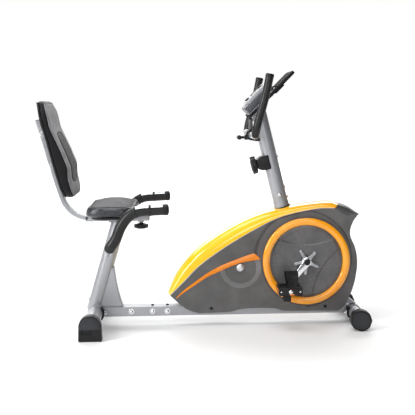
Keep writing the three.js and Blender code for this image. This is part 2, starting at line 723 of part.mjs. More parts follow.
function handlebarClamp() {
  const barrel = across(BAR.x, BAR.z, CLAMP.r, -CLAMP.half, CLAMP.half, 18);
  const neck = box(BAR.x - 6, BAR.x + 44, -CLAMP.neckHalf, CLAMP.neckHalf, BAR.z - 26, BAR.z + 12);
  const boss = rod(
    [BAR.x - HANDLE.start + 0.5, 0, BAR.z - CLAMP.drop], [BAR.x, 0, BAR.z - CLAMP.drop], CLAMP.bossR, 20,
  );
  const lug = rod([BAR.x - 2, 0, BAR.z + 15], [BAR.x - 2, 0, BAR.z + CLAMP.lugTop], CLAMP.lugR, 14);
  return cut(
    join(barrel, neck, boss, lug),
    across(BAR.x, BAR.z, BAR.r + 0.5, -60, 60, 18),
    postCore(TUBE_R + GAP, 700, 850),
  );
}

function clampKnob() {
  const z = BAR.z - CLAMP.drop;
  return join(
    rod([BAR.x - HANDLE.reach, 0, z], [BAR.x - HANDLE.start, 0, z], HANDLE.stemR, 16),
    across(BAR.x - HANDLE.reach + 2, z, HANDLE.barR, -HANDLE.barHalf, HANDLE.barHalf, 16),
  );
}

// ---- console -------------------------------------------------------------------------------
const buttonY = (i) => (i - 1) * BUTTON.pitch;
const upright = (x, y, r, z0, z1, sides = 14) => rod([x, y, z0], [x, y, z1], r, sides);

function consoleBody() {
  const deck = roundedRectangle(FACE.start, FACE.end, -FACE.half, FACE.half, 30);
  const block = roundedRectangle(RAISED.start, RAISED.end, -RAISED.half, RAISED.half, 20);
  const base = plate(deck, FACE.low, FACE.deck, 5, 1);
  const raised = plate(block, FACE.deck - 6, FACE.high, 3, 1);
  const pockets = [0, 1, 2].map((i) =>
    upright(BUTTON.x, buttonY(i), BUTTON.r + 0.4, BUTTON.low - BUTTON.travel - 0.5, 600));
  const well = box(
    SCREEN.x0 - GAP, SCREEN.x1 + GAP, -SCREEN.half - GAP, SCREEN.half + GAP, SCREEN.low - GAP, 600,
  );
  return toConsole(cut(join(base, raised), ...pockets, well));
}

const consoleButton = (i) =>
  toConsole(upright(BUTTON.x, buttonY(i), BUTTON.r, BUTTON.low, BUTTON.high));
const consoleScreen = () =>
  toConsole(box(SCREEN.x0, SCREEN.x1, -SCREEN.half, SCREEN.half, SCREEN.low, SCREEN.high));

function readingRack() {
  const panel = plate(
    roundedRectangle(PLATE.start, PLATE.end, -PLATE.half, PLATE.half, PLATE.corner),
    PLATE.low,
    PLATE.high,
    3,
    2,
  );
  const rib = box(RIB.start, RIB.end, -RIB.half, RIB.half, PLATE.low - RIB.drop, PLATE.low + 2);
  return toConsole(join(panel, rib));
}

// ---- seat ----------------------------------------------------------------------------------

function seatRail() {
  const channel = cut(
    box(RAIL.rear, RAIL.front, -RAIL.half, RAIL.half, RAIL.low, RAIL.high),
    box(
      RAIL.rear + 8, -262, -RAIL.half + RAIL.wall, RAIL.half - RAIL.wall,
      RAIL.low - 1, RAIL.high - RAIL.wall,
    ),
  );
  const line = smooth(BACK_BAR, 18);
  const edge = (side) =>
    line.map(([x, z], i) => {
      const [ax, az] = line[Math.max(i - 1, 0)];
      const [bx, bz] = line[Math.min(i + 1, line.length - 1)];
      const length = Math.hypot(bx - ax, bz - az);
      return [x - (side * 8.5 * (bz - az)) / length, z + (side * 8.5 * (bx - ax)) / length];
    });
  const bar = slab(polygon([...edge(1), ...edge(-1).reverse()]), -RAIL.half, RAIL.half);
  const pads = [650, 780].map((z) => {
    const face = backX(z) - BACK.dish - 4;
    return box(face - 10, face, -40, 40, z - 14, z + 14);
  });
  return join(channel, bar, ...pads);
}

function seatKnob() {
  const { x, r, low, thick, lobes, stemR } = SEAT_KNOB;
  return join(
    upright(x, 0, stemR, low + thick - 2, RAIL.low - 0.5, 20),
    starKnob(r, lobes, thick).translate(x, 0, low),
  );
}

function at(table, z) {
  const i = Math.max(1, table.findIndex(([height]) => height >= z));
  const [z0, x0] = table[i - 1];
  const [z1, x1] = table[i];
  return x0 + ((x1 - x0) * (z - z0)) / (z1 - z0);
}
const backX = (z) => at(BACK_REAR, z);

// A dished panel between two faces: rear and front give the offset from the rear face's side line.
function backPanel(rearOf, frontOf, grow) {
  const rings = [];
  const columns = 6;
  for (const z of BACK_ROWS) {
    const end = Math.min(z - BACK.low, BACK.high - z, BACK.corner);
    const cut = BACK.corner - Math.sqrt(BACK.corner ** 2 - (BACK.corner - end) ** 2);
    const half = BACK.half - grow - cut;
    const ring = [];
    for (let i = 0; i <= columns; i++) {
      const u = -1 + (2 * i) / columns;
      ring.push([rearOf(z, u * half), u * half, z]);
    }
    for (let i = columns; i >= 0; i--) {
      const u = -1 + (2 * i) / columns;
      ring.push([frontOf(z, u * half), u * half, z]);
    }
    rings.push(ring.reverse());
  }
  return loft(rings);
}
const dish = (y) => BACK.dish * ((y / BACK.half) ** 2 - 1);
const backBulge = (y) => BACK.bulge * (1 - (y / BACK.half) ** 4);
const backFront = (z, y) =>
  Math.max(at(BACK_FRONT, z), backX(z) + BACK.board + 14) + backBulge(y);
const backrestBoard = () =>
  backPanel((z, y) => backX(z) + dish(y), (z, y) => backX(z) + dish(y) + BACK.board, 6);
const backrestCushion = () =>
  backPanel((z, y) => backX(z) + dish(y) + BACK.board + 0.5, backFront, 0);

const seatOutline = (inset) =>
  roundedRectangle(
    SEAT.rear + inset, SEAT.front - inset, -SEAT.half + inset, SEAT.half - inset, 62 - inset / 2,
  );
const seatBase = () => plate(seatOutline(26), RAIL.high + GAP, SEAT.low - GAP);
const seatCushion = () => plate(seatOutline(0), SEAT.low, SEAT.high, 20, 3);

// ---- side handles --------------------------------------------------------------------------
const sidePath = () => {
  const x = seatPostX(SIDE_BAR.z);
  const y = -SIDE_BAR.y;
  return [
    [x, -50, SIDE_BAR.z], [x, y + 60, SIDE_BAR.z], [x + 2, y + 20, SIDE_BAR.z + 6],
    [x + 12, y, SIDE_BAR.z + 28], [-331, y, 392], [-313, y, 434], [-291, y, 466], [-266, y, 486],
    [-237, y, 495], [-190, y, 498], [-138, y, 500],
  ];
};

function sideHandleBar() {
  const right = bentRod(sidePath(), SIDE_BAR.r, SIDE_STEPS);
  return join(across(sidePath()[0][0], SIDE_BAR.z, SIDE_BAR.r, -52, 52, 20), right, mirrorWound(right));
}

function sideGrip() {
  const path = sidePath().slice(2);
  const [x, y, z] = path.at(-1);
  const tip = rod([x, y, z], [x + 9, y, z + 0.4], SIDE_BAR.foamR - 1, 12);
  return cut(
    join(bentRod(path, SIDE_BAR.foamR, 10, 10), tip),
    bentRod(sidePath(), SIDE_BAR.r + 0.6, SIDE_STEPS),
    rod([x - 24, y, z - 1], [x + 1, y, z], SIDE_BAR.r + 0.8, 16),
  );
}

// ---- assembly ------------------------------------------------------------------------------
add("main_beam", mainBeam(), silverPaint());
add("rear_frame", rearFrame(), silverPaint());
add("seat_post", seatPost(), silverPaint());
add("rear_stabilizer", stabilizer(REAR_FOOT), silverPaint());
add("front_stabilizer", stabilizer(FRONT_FOOT), silverPaint());
addPair("rear_cap", rearCap(), blackPlastic);
addPair("front_cap", frontCap(), blackPlastic);
addPair("transport_wheel", transportWheel(), rubber);
BOLT_X.forEach((x, i) => add(`beam_bolt_${i + 1}`, beamBolt(x), chrome()));

const shells = casing();
add("right_cover", shells.right, greyShell());
add("left_cover", shells.left, greyShell());
add("top_cover", shells.top, yellowShell());
add("nose_trim", shells.nose, greyShell());

add("head_frame", headFrame(), silverPaint());
add("crank_axle", across(CRANK.x, CRANK.z, CRANK.axleR, -CRANK.half, CRANK.half, 18), steel());
add("drive_pulley", drivePulley(), blackPlastic());
add("drive_belt", driveBelt(), rubber());
add("flywheel", flywheel(), steel());
add("flywheel_axle", flywheelAxle(), steel());
add("idler_pulley", idlerPulley(), blackPlastic());
add("magnet_bracket", magnetBracket(), steel());

const halfTurn = (geometry) =>
  geometry.clone().translate(-CRANK.x, 0, -CRANK.z).rotateY(Math.PI).translate(CRANK.x, 0, CRANK.z);
addPair("crank_disc", crankDisc(), greyShell);
addPair("crank_ring", orangeRing(), orange);
add("right_crank", crankArm(true), chrome());
add("left_crank", mirrorWound(halfTurn(crankArm(false))), chrome());

// The left pedal hangs the same way up as the right one, at the other end of the cranks.
const swap = (() => {
  const [x, z] = crankEnd();
  return { x: 2 * (CRANK.x - x), z: 2 * (CRANK.z - z) };
})();
const leftPedal = (geometry) => mirrorWound(geometry).translate(swap.x, 0, swap.z);
add("right_spindle", spindle(), steel());
add("left_spindle", leftPedal(spindle()), steel());
add("right_pedal", pedalBody(), blackPlastic());
add("left_pedal", leftPedal(pedalBody()), blackPlastic());
add("right_strap", pedalStrap(), rubber());
add("left_strap", leftPedal(pedalStrap()), rubber());

add("upright_post", uprightPost(), silverPaint());
add("tension_housing", tensionHousing(), blackPlastic());
add("tension_knob", tensionKnob(), blackPlastic());
add("handlebar", handlebar(), chrome());
addPair("bar_grip", barGrip(), foam);
add("handlebar_clamp", handlebarClamp(), blackPlastic());
add("clamp_knob", clampKnob(), blackPlastic());

add("console_body", consoleBody(), silverPaint());
add("console_screen", consoleScreen(), finish(0x9fae9a, 0.1, 0));
[0, 1, 2].forEach((i) => add(`console_button_${i + 1}`, consoleButton(i), blackPlastic()));
add("reading_rack", readingRack(), blackPlastic());

add("seat_rail", seatRail(), silverPaint());
add("seat_base", seatBase(), blackPlastic());
add("seat_cushion", seatCushion(), vinyl());
add("backrest_board", backrestBoard(), blackPlastic());
add("backrest_cushion", backrestCushion(), vinyl());
add("seat_knob", seatKnob(), blackPlastic());
add("side_handle_bar", sideHandleBar(), silverPaint());
addPair("side_grip", sideGrip(), foam);

export default bike;
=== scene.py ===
"""Recumbent exercise bike: the looks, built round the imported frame. Metres, +X forward, +Z up."""
import json
import math
from contextlib import contextmanager

import bmesh
import bpy
from mathutils import Matrix, Vector
from mathutils.bvhtree import BVHTree
from mathutils.kdtree import KDTree


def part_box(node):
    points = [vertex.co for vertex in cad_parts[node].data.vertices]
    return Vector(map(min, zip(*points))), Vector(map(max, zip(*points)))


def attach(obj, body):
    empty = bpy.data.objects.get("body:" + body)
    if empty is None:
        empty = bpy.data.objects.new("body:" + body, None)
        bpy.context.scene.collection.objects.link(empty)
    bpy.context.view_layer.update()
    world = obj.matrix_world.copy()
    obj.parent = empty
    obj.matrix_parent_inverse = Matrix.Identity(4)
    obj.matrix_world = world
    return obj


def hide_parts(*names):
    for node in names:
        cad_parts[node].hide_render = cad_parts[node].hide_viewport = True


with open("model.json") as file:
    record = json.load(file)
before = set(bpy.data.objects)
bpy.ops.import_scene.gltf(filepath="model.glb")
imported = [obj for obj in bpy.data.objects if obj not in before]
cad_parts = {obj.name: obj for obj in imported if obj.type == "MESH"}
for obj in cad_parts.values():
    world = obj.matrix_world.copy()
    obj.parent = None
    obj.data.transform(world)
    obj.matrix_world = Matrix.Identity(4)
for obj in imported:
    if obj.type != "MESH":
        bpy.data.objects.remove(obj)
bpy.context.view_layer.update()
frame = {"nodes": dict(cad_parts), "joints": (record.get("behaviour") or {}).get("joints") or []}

MM = 0.001
NODES = frame["nodes"]
JOINTS = {joint["name"]: joint for joint in frame["joints"]}
SIDES = (("right", -1), ("left", 1))


# ---- materials -------------------------------------------------------------------------------
def node_material(name, color, roughness, metallic=0.0, **constants):
    """A Principled material with its constant values on the shader's own sockets."""
    mat = bpy.data.materials.new(name)
    mat.use_nodes = True
    shader = mat.node_tree.nodes["Principled BSDF"]
    shader.inputs["Base Color"].default_value = (*color, 1)
    shader.inputs["Roughness"].default_value = roughness
    shader.inputs["Metallic"].default_value = metallic
    for socket, value in constants.items():
        shader.inputs[socket.replace("_", " ")].default_value = value
    coords = mat.node_tree.nodes.new("ShaderNodeTexCoord")
    mat["coords"] = coords.name
    return mat


def add_node(mat, kind, **settings):
    node = mat.node_tree.nodes.new(kind)
    for key, value in settings.items():
        if key in node.inputs:
            node.inputs[key].default_value = value
        else:
            setattr(node, key, value)
    return node


def link(mat, source, target):
    mat.node_tree.links.new(source, target)


def object_coords(mat, stretch=(1, 1, 1)):
    coords = mat.node_tree.nodes[mat["coords"]].outputs["Object"]
    if tuple(stretch) == (1, 1, 1):
        return coords
    mapping = add_node(mat, "ShaderNodeMapping")
    mapping.inputs["Scale"].default_value = stretch
    link(mat, coords, mapping.inputs["Vector"])
    return mapping.outputs["Vector"]


def noise_at(mat, scale, detail=3.0, stretch=(1, 1, 1)):
    node = add_node(mat, "ShaderNodeTexNoise", Scale=scale, Detail=detail)
    link(mat, object_coords(mat, stretch), node.inputs["Vector"])
    return node.outputs["Fac"]


def cells_at(mat, scale, feature="F1"):
    node = add_node(mat, "ShaderNodeTexVoronoi", Scale=scale, feature=feature)
    link(mat, object_coords(mat), node.inputs["Vector"])
    return node.outputs["Distance"]


def remap(mat, value, low, high, from_low=0.3, from_high=0.7):
    node = add_node(mat, "ShaderNodeMapRange")
    node.inputs["From Min"].default_value = from_low
    node.inputs["From Max"].default_value = from_high
    node.inputs["To Min"].default_value = low
    node.inputs["To Max"].default_value = high
    link(mat, value, node.inputs["Value"])
    return node.outputs["Result"]


def shader_of(mat):
    return mat.node_tree.nodes["Principled BSDF"]


def vary_color(mat, value, color_a, color_b):
    mix = add_node(mat, "ShaderNodeMix", data_type="RGBA")
    mix.inputs[6].default_value = (*color_a, 1)
    mix.inputs[7].default_value = (*color_b, 1)
    link(mat, value, mix.inputs[0])
    link(mat, mix.outputs[2], shader_of(mat).inputs["Base Color"])


def vary_roughness(mat, value, low, high):
    link(mat, remap(mat, value, low, high), shader_of(mat).inputs["Roughness"])


def bump(mat, value, strength, distance, onto=None):
    node = add_node(mat, "ShaderNodeBump", Strength=strength, Distance=distance)
    link(mat, value, node.inputs["Height"])
    if onto is not None:
        link(mat, onto, node.inputs["Normal"])
    link(mat, node.outputs["Normal"], shader_of(mat).inputs["Normal"])
    return node.outputs["Normal"]


def silver_paint():
    mat = node_material("silver_paint", (0.5, 0.52, 0.56), 0.34, 0.45, Coat_Weight=0.35, Coat_Roughness=0.12)
    vary_color(mat, remap(mat, noise_at(mat, 9, 4), 0, 1), (0.35, 0.357, 0.378), (0.40, 0.408, 0.43))
    vary_roughness(mat, noise_at(mat, 35, 5), 0.28, 0.42)
    peel = bump(mat, noise_at(mat, 260, 2), 0.10, 0.0004)
    bump(mat, noise_at(mat, 2600, 1), 0.12, 0.0001, peel)
    return mat


def chrome():
    mat = node_material("chrome", (0.78, 0.79, 0.81), 0.07, 1.0)
    vary_roughness(mat, noise_at(mat, 60, 6), 0.05, 0.14)
    bump(mat, noise_at(mat, 18, 2), 0.04, 0.0006)
    return mat


def machined_steel():
    mat = node_material("machined_steel", (0.42, 0.43, 0.45), 0.3, 1.0)
    vary_color(mat, remap(mat, noise_at(mat, 40, 5), 0, 1), (0.34, 0.35, 0.37), (0.5, 0.51, 0.53))
    vary_roughness(mat, noise_at(mat, 150, 5, (1, 8, 1)), 0.22, 0.42)
    bump(mat, noise_at(mat, 700, 3, (1, 12, 1)), 0.12, 0.0002)
    return mat


def satin_metal():
    mat = node_material("satin_metal", (0.72, 0.73, 0.75), 0.3, 0.7)
    vary_color(mat, remap(mat, noise_at(mat, 50, 4), 0, 1), (0.68, 0.69, 0.71), (0.76, 0.77, 0.79))
    vary_roughness(mat, noise_at(mat, 120, 4), 0.24, 0.36)
    bump(mat, noise_at(mat, 900, 2), 0.05, 0.0001)
    return mat


def moulded(name, color, roughness, grain=1500, depth=0.16, **constants):
    """Moulded plastic: a fine spark-eroded grain, slow colour drift and scuffed roughness."""
    mat = node_material(name, color, roughness, **constants)
    lighter = tuple(min(1.0, c * 1.22 + 0.004) for c in color)
    darker = tuple(c * 0.84 for c in color)
    vary_color(mat, remap(mat, noise_at(mat, 14, 5), 0, 1), darker, lighter)
    vary_roughness(mat, noise_at(mat, 45, 6), roughness - 0.06, roughness + 0.09)
    slow = bump(mat, noise_at(mat, 9, 2), 0.05, 0.002)
    bump(mat, cells_at(mat, grain), depth, 0.00012, slow)
    return mat


def foam_grip():
    mat = node_material("foam_grip", (0.010, 0.0102, 0.011), 0.38, Specular_IOR_Level=0.38)
    vary_color(mat, remap(mat, noise_at(mat, 60, 5), 0, 1), (0.007, 0.0072, 0.008), (0.013, 0.0133, 0.0145))
    vary_roughness(mat, noise_at(mat, 120, 4), 0.32, 0.46)
    skin = bump(mat, cells_at(mat, 1300), 0.25, 0.0002)
    bump(mat, noise_at(mat, 90, 3), 0.08, 0.0005, skin)
    return mat


def gloss_yellow():
    """Glossy yellow that warms to orange towards the front."""
    mat = node_material("gloss_yellow", (0.95, 0.5, 0.02), 0.16, Coat_Weight=0.7, Coat_Roughness=0.05)
    place = add_node(mat, "ShaderNodeSeparateXYZ")
    link(mat, object_coords(mat), place.inputs["Vector"])
    along = remap(mat, place.outputs["X"], 0, 1, 0.18, 0.56)
    vary_color(mat, along, (1.0, 0.60, 0.012), (0.98, 0.40, 0.008))
    vary_roughness(mat, noise_at(mat, 30, 5), 0.12, 0.2)
    bump(mat, noise_at(mat, 14, 2), 0.05, 0.0015)
    return mat


def gloss_orange():
    mat = node_material("gloss_orange", (0.82, 0.23, 0.003), 0.26, Specular_IOR_Level=0.35,
                        Coat_Weight=0.12, Coat_Roughness=0.08)
    vary_color(mat, remap(mat, noise_at(mat, 12, 4), 0, 1), (0.79, 0.215, 0.003), (0.85, 0.25, 0.004))
    vary_roughness(mat, noise_at(mat, 40, 5), 0.14, 0.24)
    bump(mat, noise_at(mat, 25, 2), 0.04, 0.001)
    return mat


def ring_orange():
    mat = node_material("ring_orange", (0.96, 0.36, 0.008), 0.16, Coat_Weight=0.7, Coat_Roughness=0.05)
    vary_color(mat, remap(mat, noise_at(mat, 10, 4), 0, 1), (0.95, 0.33, 0.006), (0.98, 0.41, 0.010))
    vary_roughness(mat, noise_at(mat, 40, 5), 0.12, 0.22)
    bump(mat, noise_at(mat, 25, 2), 0.04, 0.001)
    return mat


def vinyl(name, color, roughness, gleam=0.22):
    """Embossed leather-look vinyl: cells with creases between them, and fine pores."""
    mat = node_material(name, color, roughness, Specular_IOR_Level=gleam)
    lighter = tuple(min(1.0, c * 1.18) for c in color)
    darker = tuple(c * 0.8 for c in color)
    vary_color(mat, remap(mat, noise_at(mat, 22, 6), 0, 1), darker, lighter)
    vary_roughness(mat, noise_at(mat, 80, 4), roughness - 0.07, roughness + 0.1)
    crease = remap(mat, cells_at(mat, 620, "DISTANCE_TO_EDGE"), 0, 1, 0.0, 0.14)
    grain = bump(mat, crease, 0.35, 0.00025)
    bump(mat, noise_at(mat, 2400, 2), 0.15, 0.0001, grain)
    return mat


def webbing():
    mat = node_material("strap_rubber", (0.007, 0.007, 0.0075), 0.6, Specular_IOR_Level=0.25)
    vary_roughness(mat, noise_at(mat, 90, 5), 0.5, 0.72)
    bump(mat, noise_at(mat, 500, 2, (1, 6, 1)), 0.25, 0.0003)
    return mat


def display_glass():
    mat = node_material("display_glass", (0.2, 0.24, 0.19), 0.08, Coat_Weight=1.0, Coat_Roughness=0.02)
    vary_color(mat, remap(mat, noise_at(mat, 30, 3), 0, 1), (0.19, 0.23, 0.18), (0.22, 0.26, 0.21))
    bump(mat, noise_at(mat, 20, 2), 0.02, 0.0005)
    return mat


def pale_floor():
    mat = node_material("pale_floor", (0.9, 0.9, 0.9), 0.6)
    vary_color(mat, remap(mat, noise_at(mat, 3, 3), 0, 1), (0.895, 0.895, 0.895), (0.905, 0.905, 0.905))
    return mat


MAT = {
    "silver_paint": silver_paint(),
    "chrome": chrome(),
    "steel": machined_steel(),
    "black_plastic": moulded("black_plastic", (0.006, 0.006, 0.007), 0.42, Specular_IOR_Level=0.3),
    "dark_plastic": moulded("dark_plastic", (0.026, 0.027, 0.031), 0.46, Specular_IOR_Level=0.3),
    "foam": foam_grip(),
    "grey_shell": moulded("grey_shell", (0.092, 0.090, 0.089), 0.34, 1100, 0.1),
    "dark_shell": moulded("dark_shell", (0.050, 0.049, 0.050), 0.4, 1100, 0.1),
    "yellow_shell": gloss_yellow(),
    "orange_trim": gloss_orange(),
    "rubber": moulded("rubber_black", (0.006, 0.006, 0.0065), 0.66, 900, 0.2, Specular_IOR_Level=0.25),
    "vinyl": vinyl("vinyl_grey", (0.30, 0.295, 0.305), 0.72, 0.10),
    # A lighter, bluer copy of the black vinyl for the seat's side band: painted highlight.
    "vinyl_band_lit": vinyl("vinyl_band_lit", (0.020, 0.021, 0.027), 0.30, 0.7),
    "vinyl_back": vinyl("vinyl_back", (0.004, 0.0042, 0.005), 0.5, 0.2),
    # A darker copy of the grey vinyl for the seat's top: painted shade.
    "vinyl_seat_shaded": vinyl("vinyl_seat_shaded", (0.125, 0.123, 0.128), 0.72, 0.10),
    "strap": webbing(),
    "screen": display_glass(),
    "ring_orange": ring_orange(),
    "vinyl_dark": vinyl("vinyl_dark", (0.060, 0.059, 0.062), 0.6, 0.15),
    "vinyl_piping": vinyl("vinyl_piping", (0.22, 0.22, 0.235), 0.5),
    "rack_black": moulded("rack_black", (0.010, 0.010, 0.012), 0.78, 1100, 0.2, Specular_IOR_Level=0.08),
    "disc_grey": moulded("disc_grey", (0.098, 0.096, 0.099), 0.27, 1100, 0.06),
    # A lighter copy of the grey shell for the dish's cone: painted light on its lit slope.
    "dish_lit_grey": moulded("dish_lit_grey", (0.155, 0.152, 0.152), 0.32, 1100, 0.06),
    "console_silver": moulded("console_silver", (0.34, 0.347, 0.37), 0.3, 1400, 0.1),
    "console_blue": moulded("console_blue", (0.052, 0.055, 0.068), 0.4),
    "satin_metal": satin_metal(),
    "reflector_red": moulded("reflector_red", (0.55, 0.012, 0.01), 0.15, 400, 0.5, Coat_Weight=0.6),
    "reflector": moulded("reflector_amber", (0.75, 0.2, 0.01), 0.15, 400, 0.5, Coat_Weight=0.6),
}


# ---- mesh helpers ----------------------------------------------------------------------------
@contextmanager
def editing(mesh):
    """The mesh opened for editing, and written back afterwards."""
    work = bmesh.new()
    work.from_mesh(mesh)
    yield work
    work.to_mesh(mesh)
    work.free()


def shade(obj, angle=35):
    """Smooth shading, with edges sharper than the angle kept sharp."""
    limit = math.radians(angle)
    with editing(obj.data) as work:
        for face in work.faces:
            face.smooth = True
        for edge in work.edges:
            if len(edge.link_faces) == 2 and edge.calc_face_angle(0.0) > limit:
                edge.smooth = False


def piece(name, mesh, body, material, stands_for=(), angle=35):
    """Places a finished mesh on a body, with its material."""
    obj = bpy.data.objects.new(name, mesh)
    bpy.context.scene.collection.objects.link(obj)
    mesh.materials.clear()
    mesh.materials.append(MAT[material])
    shade(obj, angle)
    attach(obj, body)
    if stands_for:
        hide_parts(*stands_for)
    return obj


def mesh_from(verts, faces):
    """A mesh with its doubled points joined and its faces turned outwards."""
    mesh = bpy.data.meshes.new("made")
    mesh.from_pydata([tuple(v) for v in verts], [], faces)
    with editing(mesh) as work:
        bmesh.ops.remove_doubles(work, verts=work.verts, dist=1e-6)
        bmesh.ops.recalc_face_normals(work, faces=work.faces)
    return mesh


def merged(*meshes):
    """One mesh that holds copies of several."""
    out = bpy.data.meshes.new("merged")
    with editing(out) as work:
        for mesh in meshes:
            work.from_mesh(mesh)
    return out


def moved(mesh, matrix):
    """The mesh moved; a mirroring matrix turns its faces back out."""
    copy = mesh.copy()
    copy.transform(matrix)
    if matrix.determinant() < 0:
        copy.flip_normals()
    return copy


MIRROR = Matrix.Diagonal((1, -1, 1, 1))


def on_side(mesh, sign):
    """A mesh made for the rider's right (-Y), for either side."""
    return mesh if sign < 0 else moved(mesh, MIRROR)


def on_both_sides(*rows):
    """Pieces made for the rider's right, placed on both sides; {} in a name stands for the side.
    A row holds a piece's name, mesh, body and material, and the nodes that it stands for."""
    for side, sign in SIDES:
        for name, mesh, body, material, *nodes in rows:
            piece(name.format(side), on_side(mesh, sign), body, material,
                  tuple(node.format(side) for node in nodes))


def catmull(points, count):
    """count + 1 points along a smooth curve through the given ones."""
    pts = [Vector(p) for p in points]
    out = []
    for k in range(count + 1):
        at = (len(pts) - 1) * k / count
        i = min(int(at), len(pts) - 2)
        t = at - i
        p0, p1 = pts[max(i - 1, 0)], pts[i]
        p2, p3 = pts[i + 1], pts[min(i + 2, len(pts) - 1)]
        out.append(0.5 * (2 * p1 + (p2 - p0) * t + (2 * p0 - 5 * p1 + 4 * p2 - p3) * t * t
                          + (3 * p1 - p0 - 3 * p2 + p3) * t ** 3))
    return out


def lengths_along(path):
    """How far along a path each of its points is."""
    lengths = [0.0]
    for a, b in zip(path, path[1:]):
        lengths.append(lengths[-1] + (b - a).length)
    return lengths


def even(points, count):
    """The same curve, with count + 1 points at even distances along it."""
    lengths = lengths_along(points)
    out = []
    k = 0
    for i in range(count + 1):
        want = lengths[-1] * i / count
        while k < len(points) - 2 and lengths[k + 1] < want:
            k += 1
        span = lengths[k + 1] - lengths[k] or 1
        out.append(points[k].lerp(points[k + 1], (want - lengths[k]) / span))
    return out


def heading(path, i):
    """The direction of a path at one of its points."""
    return (path[min(i + 1, len(path) - 1)] - path[max(i - 1, 0)]).normalized()


def frames_along(path):
    """Tangent and two steady cross directions at each point of a path."""
    tangents = [heading(path, i) for i in range(len(path))]
    side = tangents[0].orthogonal().normalized()
    out = []
    for tangent in tangents:
        side = (side - tangent * side.dot(tangent)).normalized()
        out.append((tangent, side, tangent.cross(side)))
    return out


def circle(centre, side, other, r, sides):
    """Points round a circle in the plane of two directions."""
    turns = [2 * math.pi * k / sides for k in range(sides)]
    return [centre + (side * math.cos(turn) + other * math.sin(turn)) * r for turn in turns]


def ring_faces(rings, wide, closed=False):
    """Faces between rings of points that follow one another, and back to the first if closed."""
    faces = []
    for i in range(rings if closed else rings - 1):
        j = (i + 1) % rings
        for k in range(wide):
            k2 = (k + 1) % wide
            faces.append((i * wide + k, i * wide + k2, j * wide + k2, j * wide + k))
    return faces


def loops_mesh(loops):
    """Closed rings of equal count, skinned and capped."""
    wide = len(loops[0])
    faces = ring_faces(len(loops), wide)
    faces.append(tuple(range(wide)))
    faces.append(tuple(range((len(loops) - 1) * wide, len(loops) * wide)))
    return mesh_from([p for loop in loops for p in loop], faces)


def tube(path, radius, sides=32, start="flat", end="flat", edge=0.0012):
    """A round bar along a path. radius is a number or a function of the share of the way along."""
    size = radius if callable(radius) else (lambda share: radius)
    path = [Vector(p) for p in path]
    frames = frames_along(path)
    last = len(path) - 1

    def closing(kind, index, sign):
        """Rings that close an end: a dome, or a flat face with a small round edge."""
        r = size(0.0 if sign < 0 else 1.0)
        small = min(edge, r * 0.5)
        depth, steps, inner = (r * 0.55, 7, 0.0) if kind == "dome" else (small, 3, r - small)
        turns = [math.pi / 2 * k / steps for k in range(steps + 1)]
        return [(path[index] + sign * frames[index][0] * depth * (math.sin(turn) - 1), index,
                 inner + (r - inner) * math.cos(turn)) for turn in turns]

    opening, ending = closing(start, 0, -1)[::-1], closing(end, last, 1)
    run = lengths_along(path)
    low = (opening[-1][0] - path[0]).length
    high = run[-1] - (ending[0][0] - path[-1]).length
    between = [(path[i], i, size(run[i] / run[-1])) for i in range(1, last) if low < run[i] < high]
    return loops_mesh([circle(centre, frames[i][1], frames[i][2], max(r, 1e-5), sides)
                       for centre, i, r in opening + between + ending])


def straight(a, b, radius, sides=32, **ends):
    a, b = Vector(a), Vector(b)
    return tube([a.lerp(b, i / 4) for i in range(5)], radius, sides, **ends)


def crosswise(at, y0, y1, radius, sides=32, **ends):
    """A straight round bar that runs across the bike at a place."""
    return straight((at.x, y0, at.z), (at.x, y1, at.z), radius, sides, **ends)


def lathe(profile, origin=(0, 0, 0), axis=(0, -1, 0), sides=96):
    """A turned piece. profile holds (radius, distance along the axis), from the axis back to it,
    or a closed loop when its first and last points are the same."""
    axis = Vector(axis).normalized()
    side = axis.orthogonal().normalized()
    closed = profile[0] == profile[-1]
    rows = profile[:-1] if closed else profile
    verts = []
    for r, t in rows:
        verts += circle(Vector(origin) + axis * t, side, axis.cross(side), r, sides)
    return mesh_from(verts, ring_faces(len(rows), sides, closed))


def rounded(corners, step):
    """A closed or open profile with its inner corners rounded by a small radius."""
    arc = 4
    points = [Vector(c) for c in corners]
    out = [tuple(points[0])]
    for before, point, after in zip(points, points[1:], points[2:]):
        back, on = before - point, after - point
        reach = min(step, back.length * 0.45, on.length * 0.45)
        a, b = point + back.normalized() * reach, point + on.normalized() * reach
        for k in range(arc + 1):
            t = k / arc
            out.append(tuple(a.lerp(point, t).lerp(point.lerp(b, t), t)))
    return out + [tuple(points[-1])]


def disc_section(r, low, high, step):
    """A lathe's profile for a solid disc with rounded edges."""
    return rounded([(0, low), (r, low), (r, high), (0, high)], step)


def ring_section(inner, outer, low, high, step):
    """A lathe's profile for a ring with rounded outer edges."""
    return rounded([(inner, low), (outer, low), (outer, high), (inner, high), (inner, low)], step)


def quarter(r, low, height, step):
    """Profile points from a dome's rim up towards its top, step degrees apart."""
    turns = [math.radians(a) for a in range(0, 90, step)]
    return [(r * math.cos(turn), low + height * math.sin(turn)) for turn in turns]


def arc_points(x, z, r, start, end, step):
    """Points along a circle's arc, from start to end degrees."""
    turns = [math.radians(a) for a in range(start, end + 1, step)]
    return [(x + r * math.cos(turn), z + r * math.sin(turn)) for turn in turns]


def prism(outline, low, high, bevel=0.0, steps=3, plane="xz", keep=None):
    """An outline made solid. plane xz runs from y = low to high, xy from z = low to high.
    keep says, from an edge's middle, whether that edge is rounded."""
    count = len(outline)
    place = (lambda p, d: (p[0], d, p[1])) if plane == "xz" else (lambda p, d: (p[0], p[1], d))
    verts = [place(p, low) for p in outline] + [place(p, high) for p in outline]
    faces = [tuple(range(count)), tuple(range(count, 2 * count))]
    mesh = mesh_from(verts, faces + ring_faces(2, count))
    if bevel > 0:
        round_edges(mesh, bevel, steps, 35, keep)
    return mesh


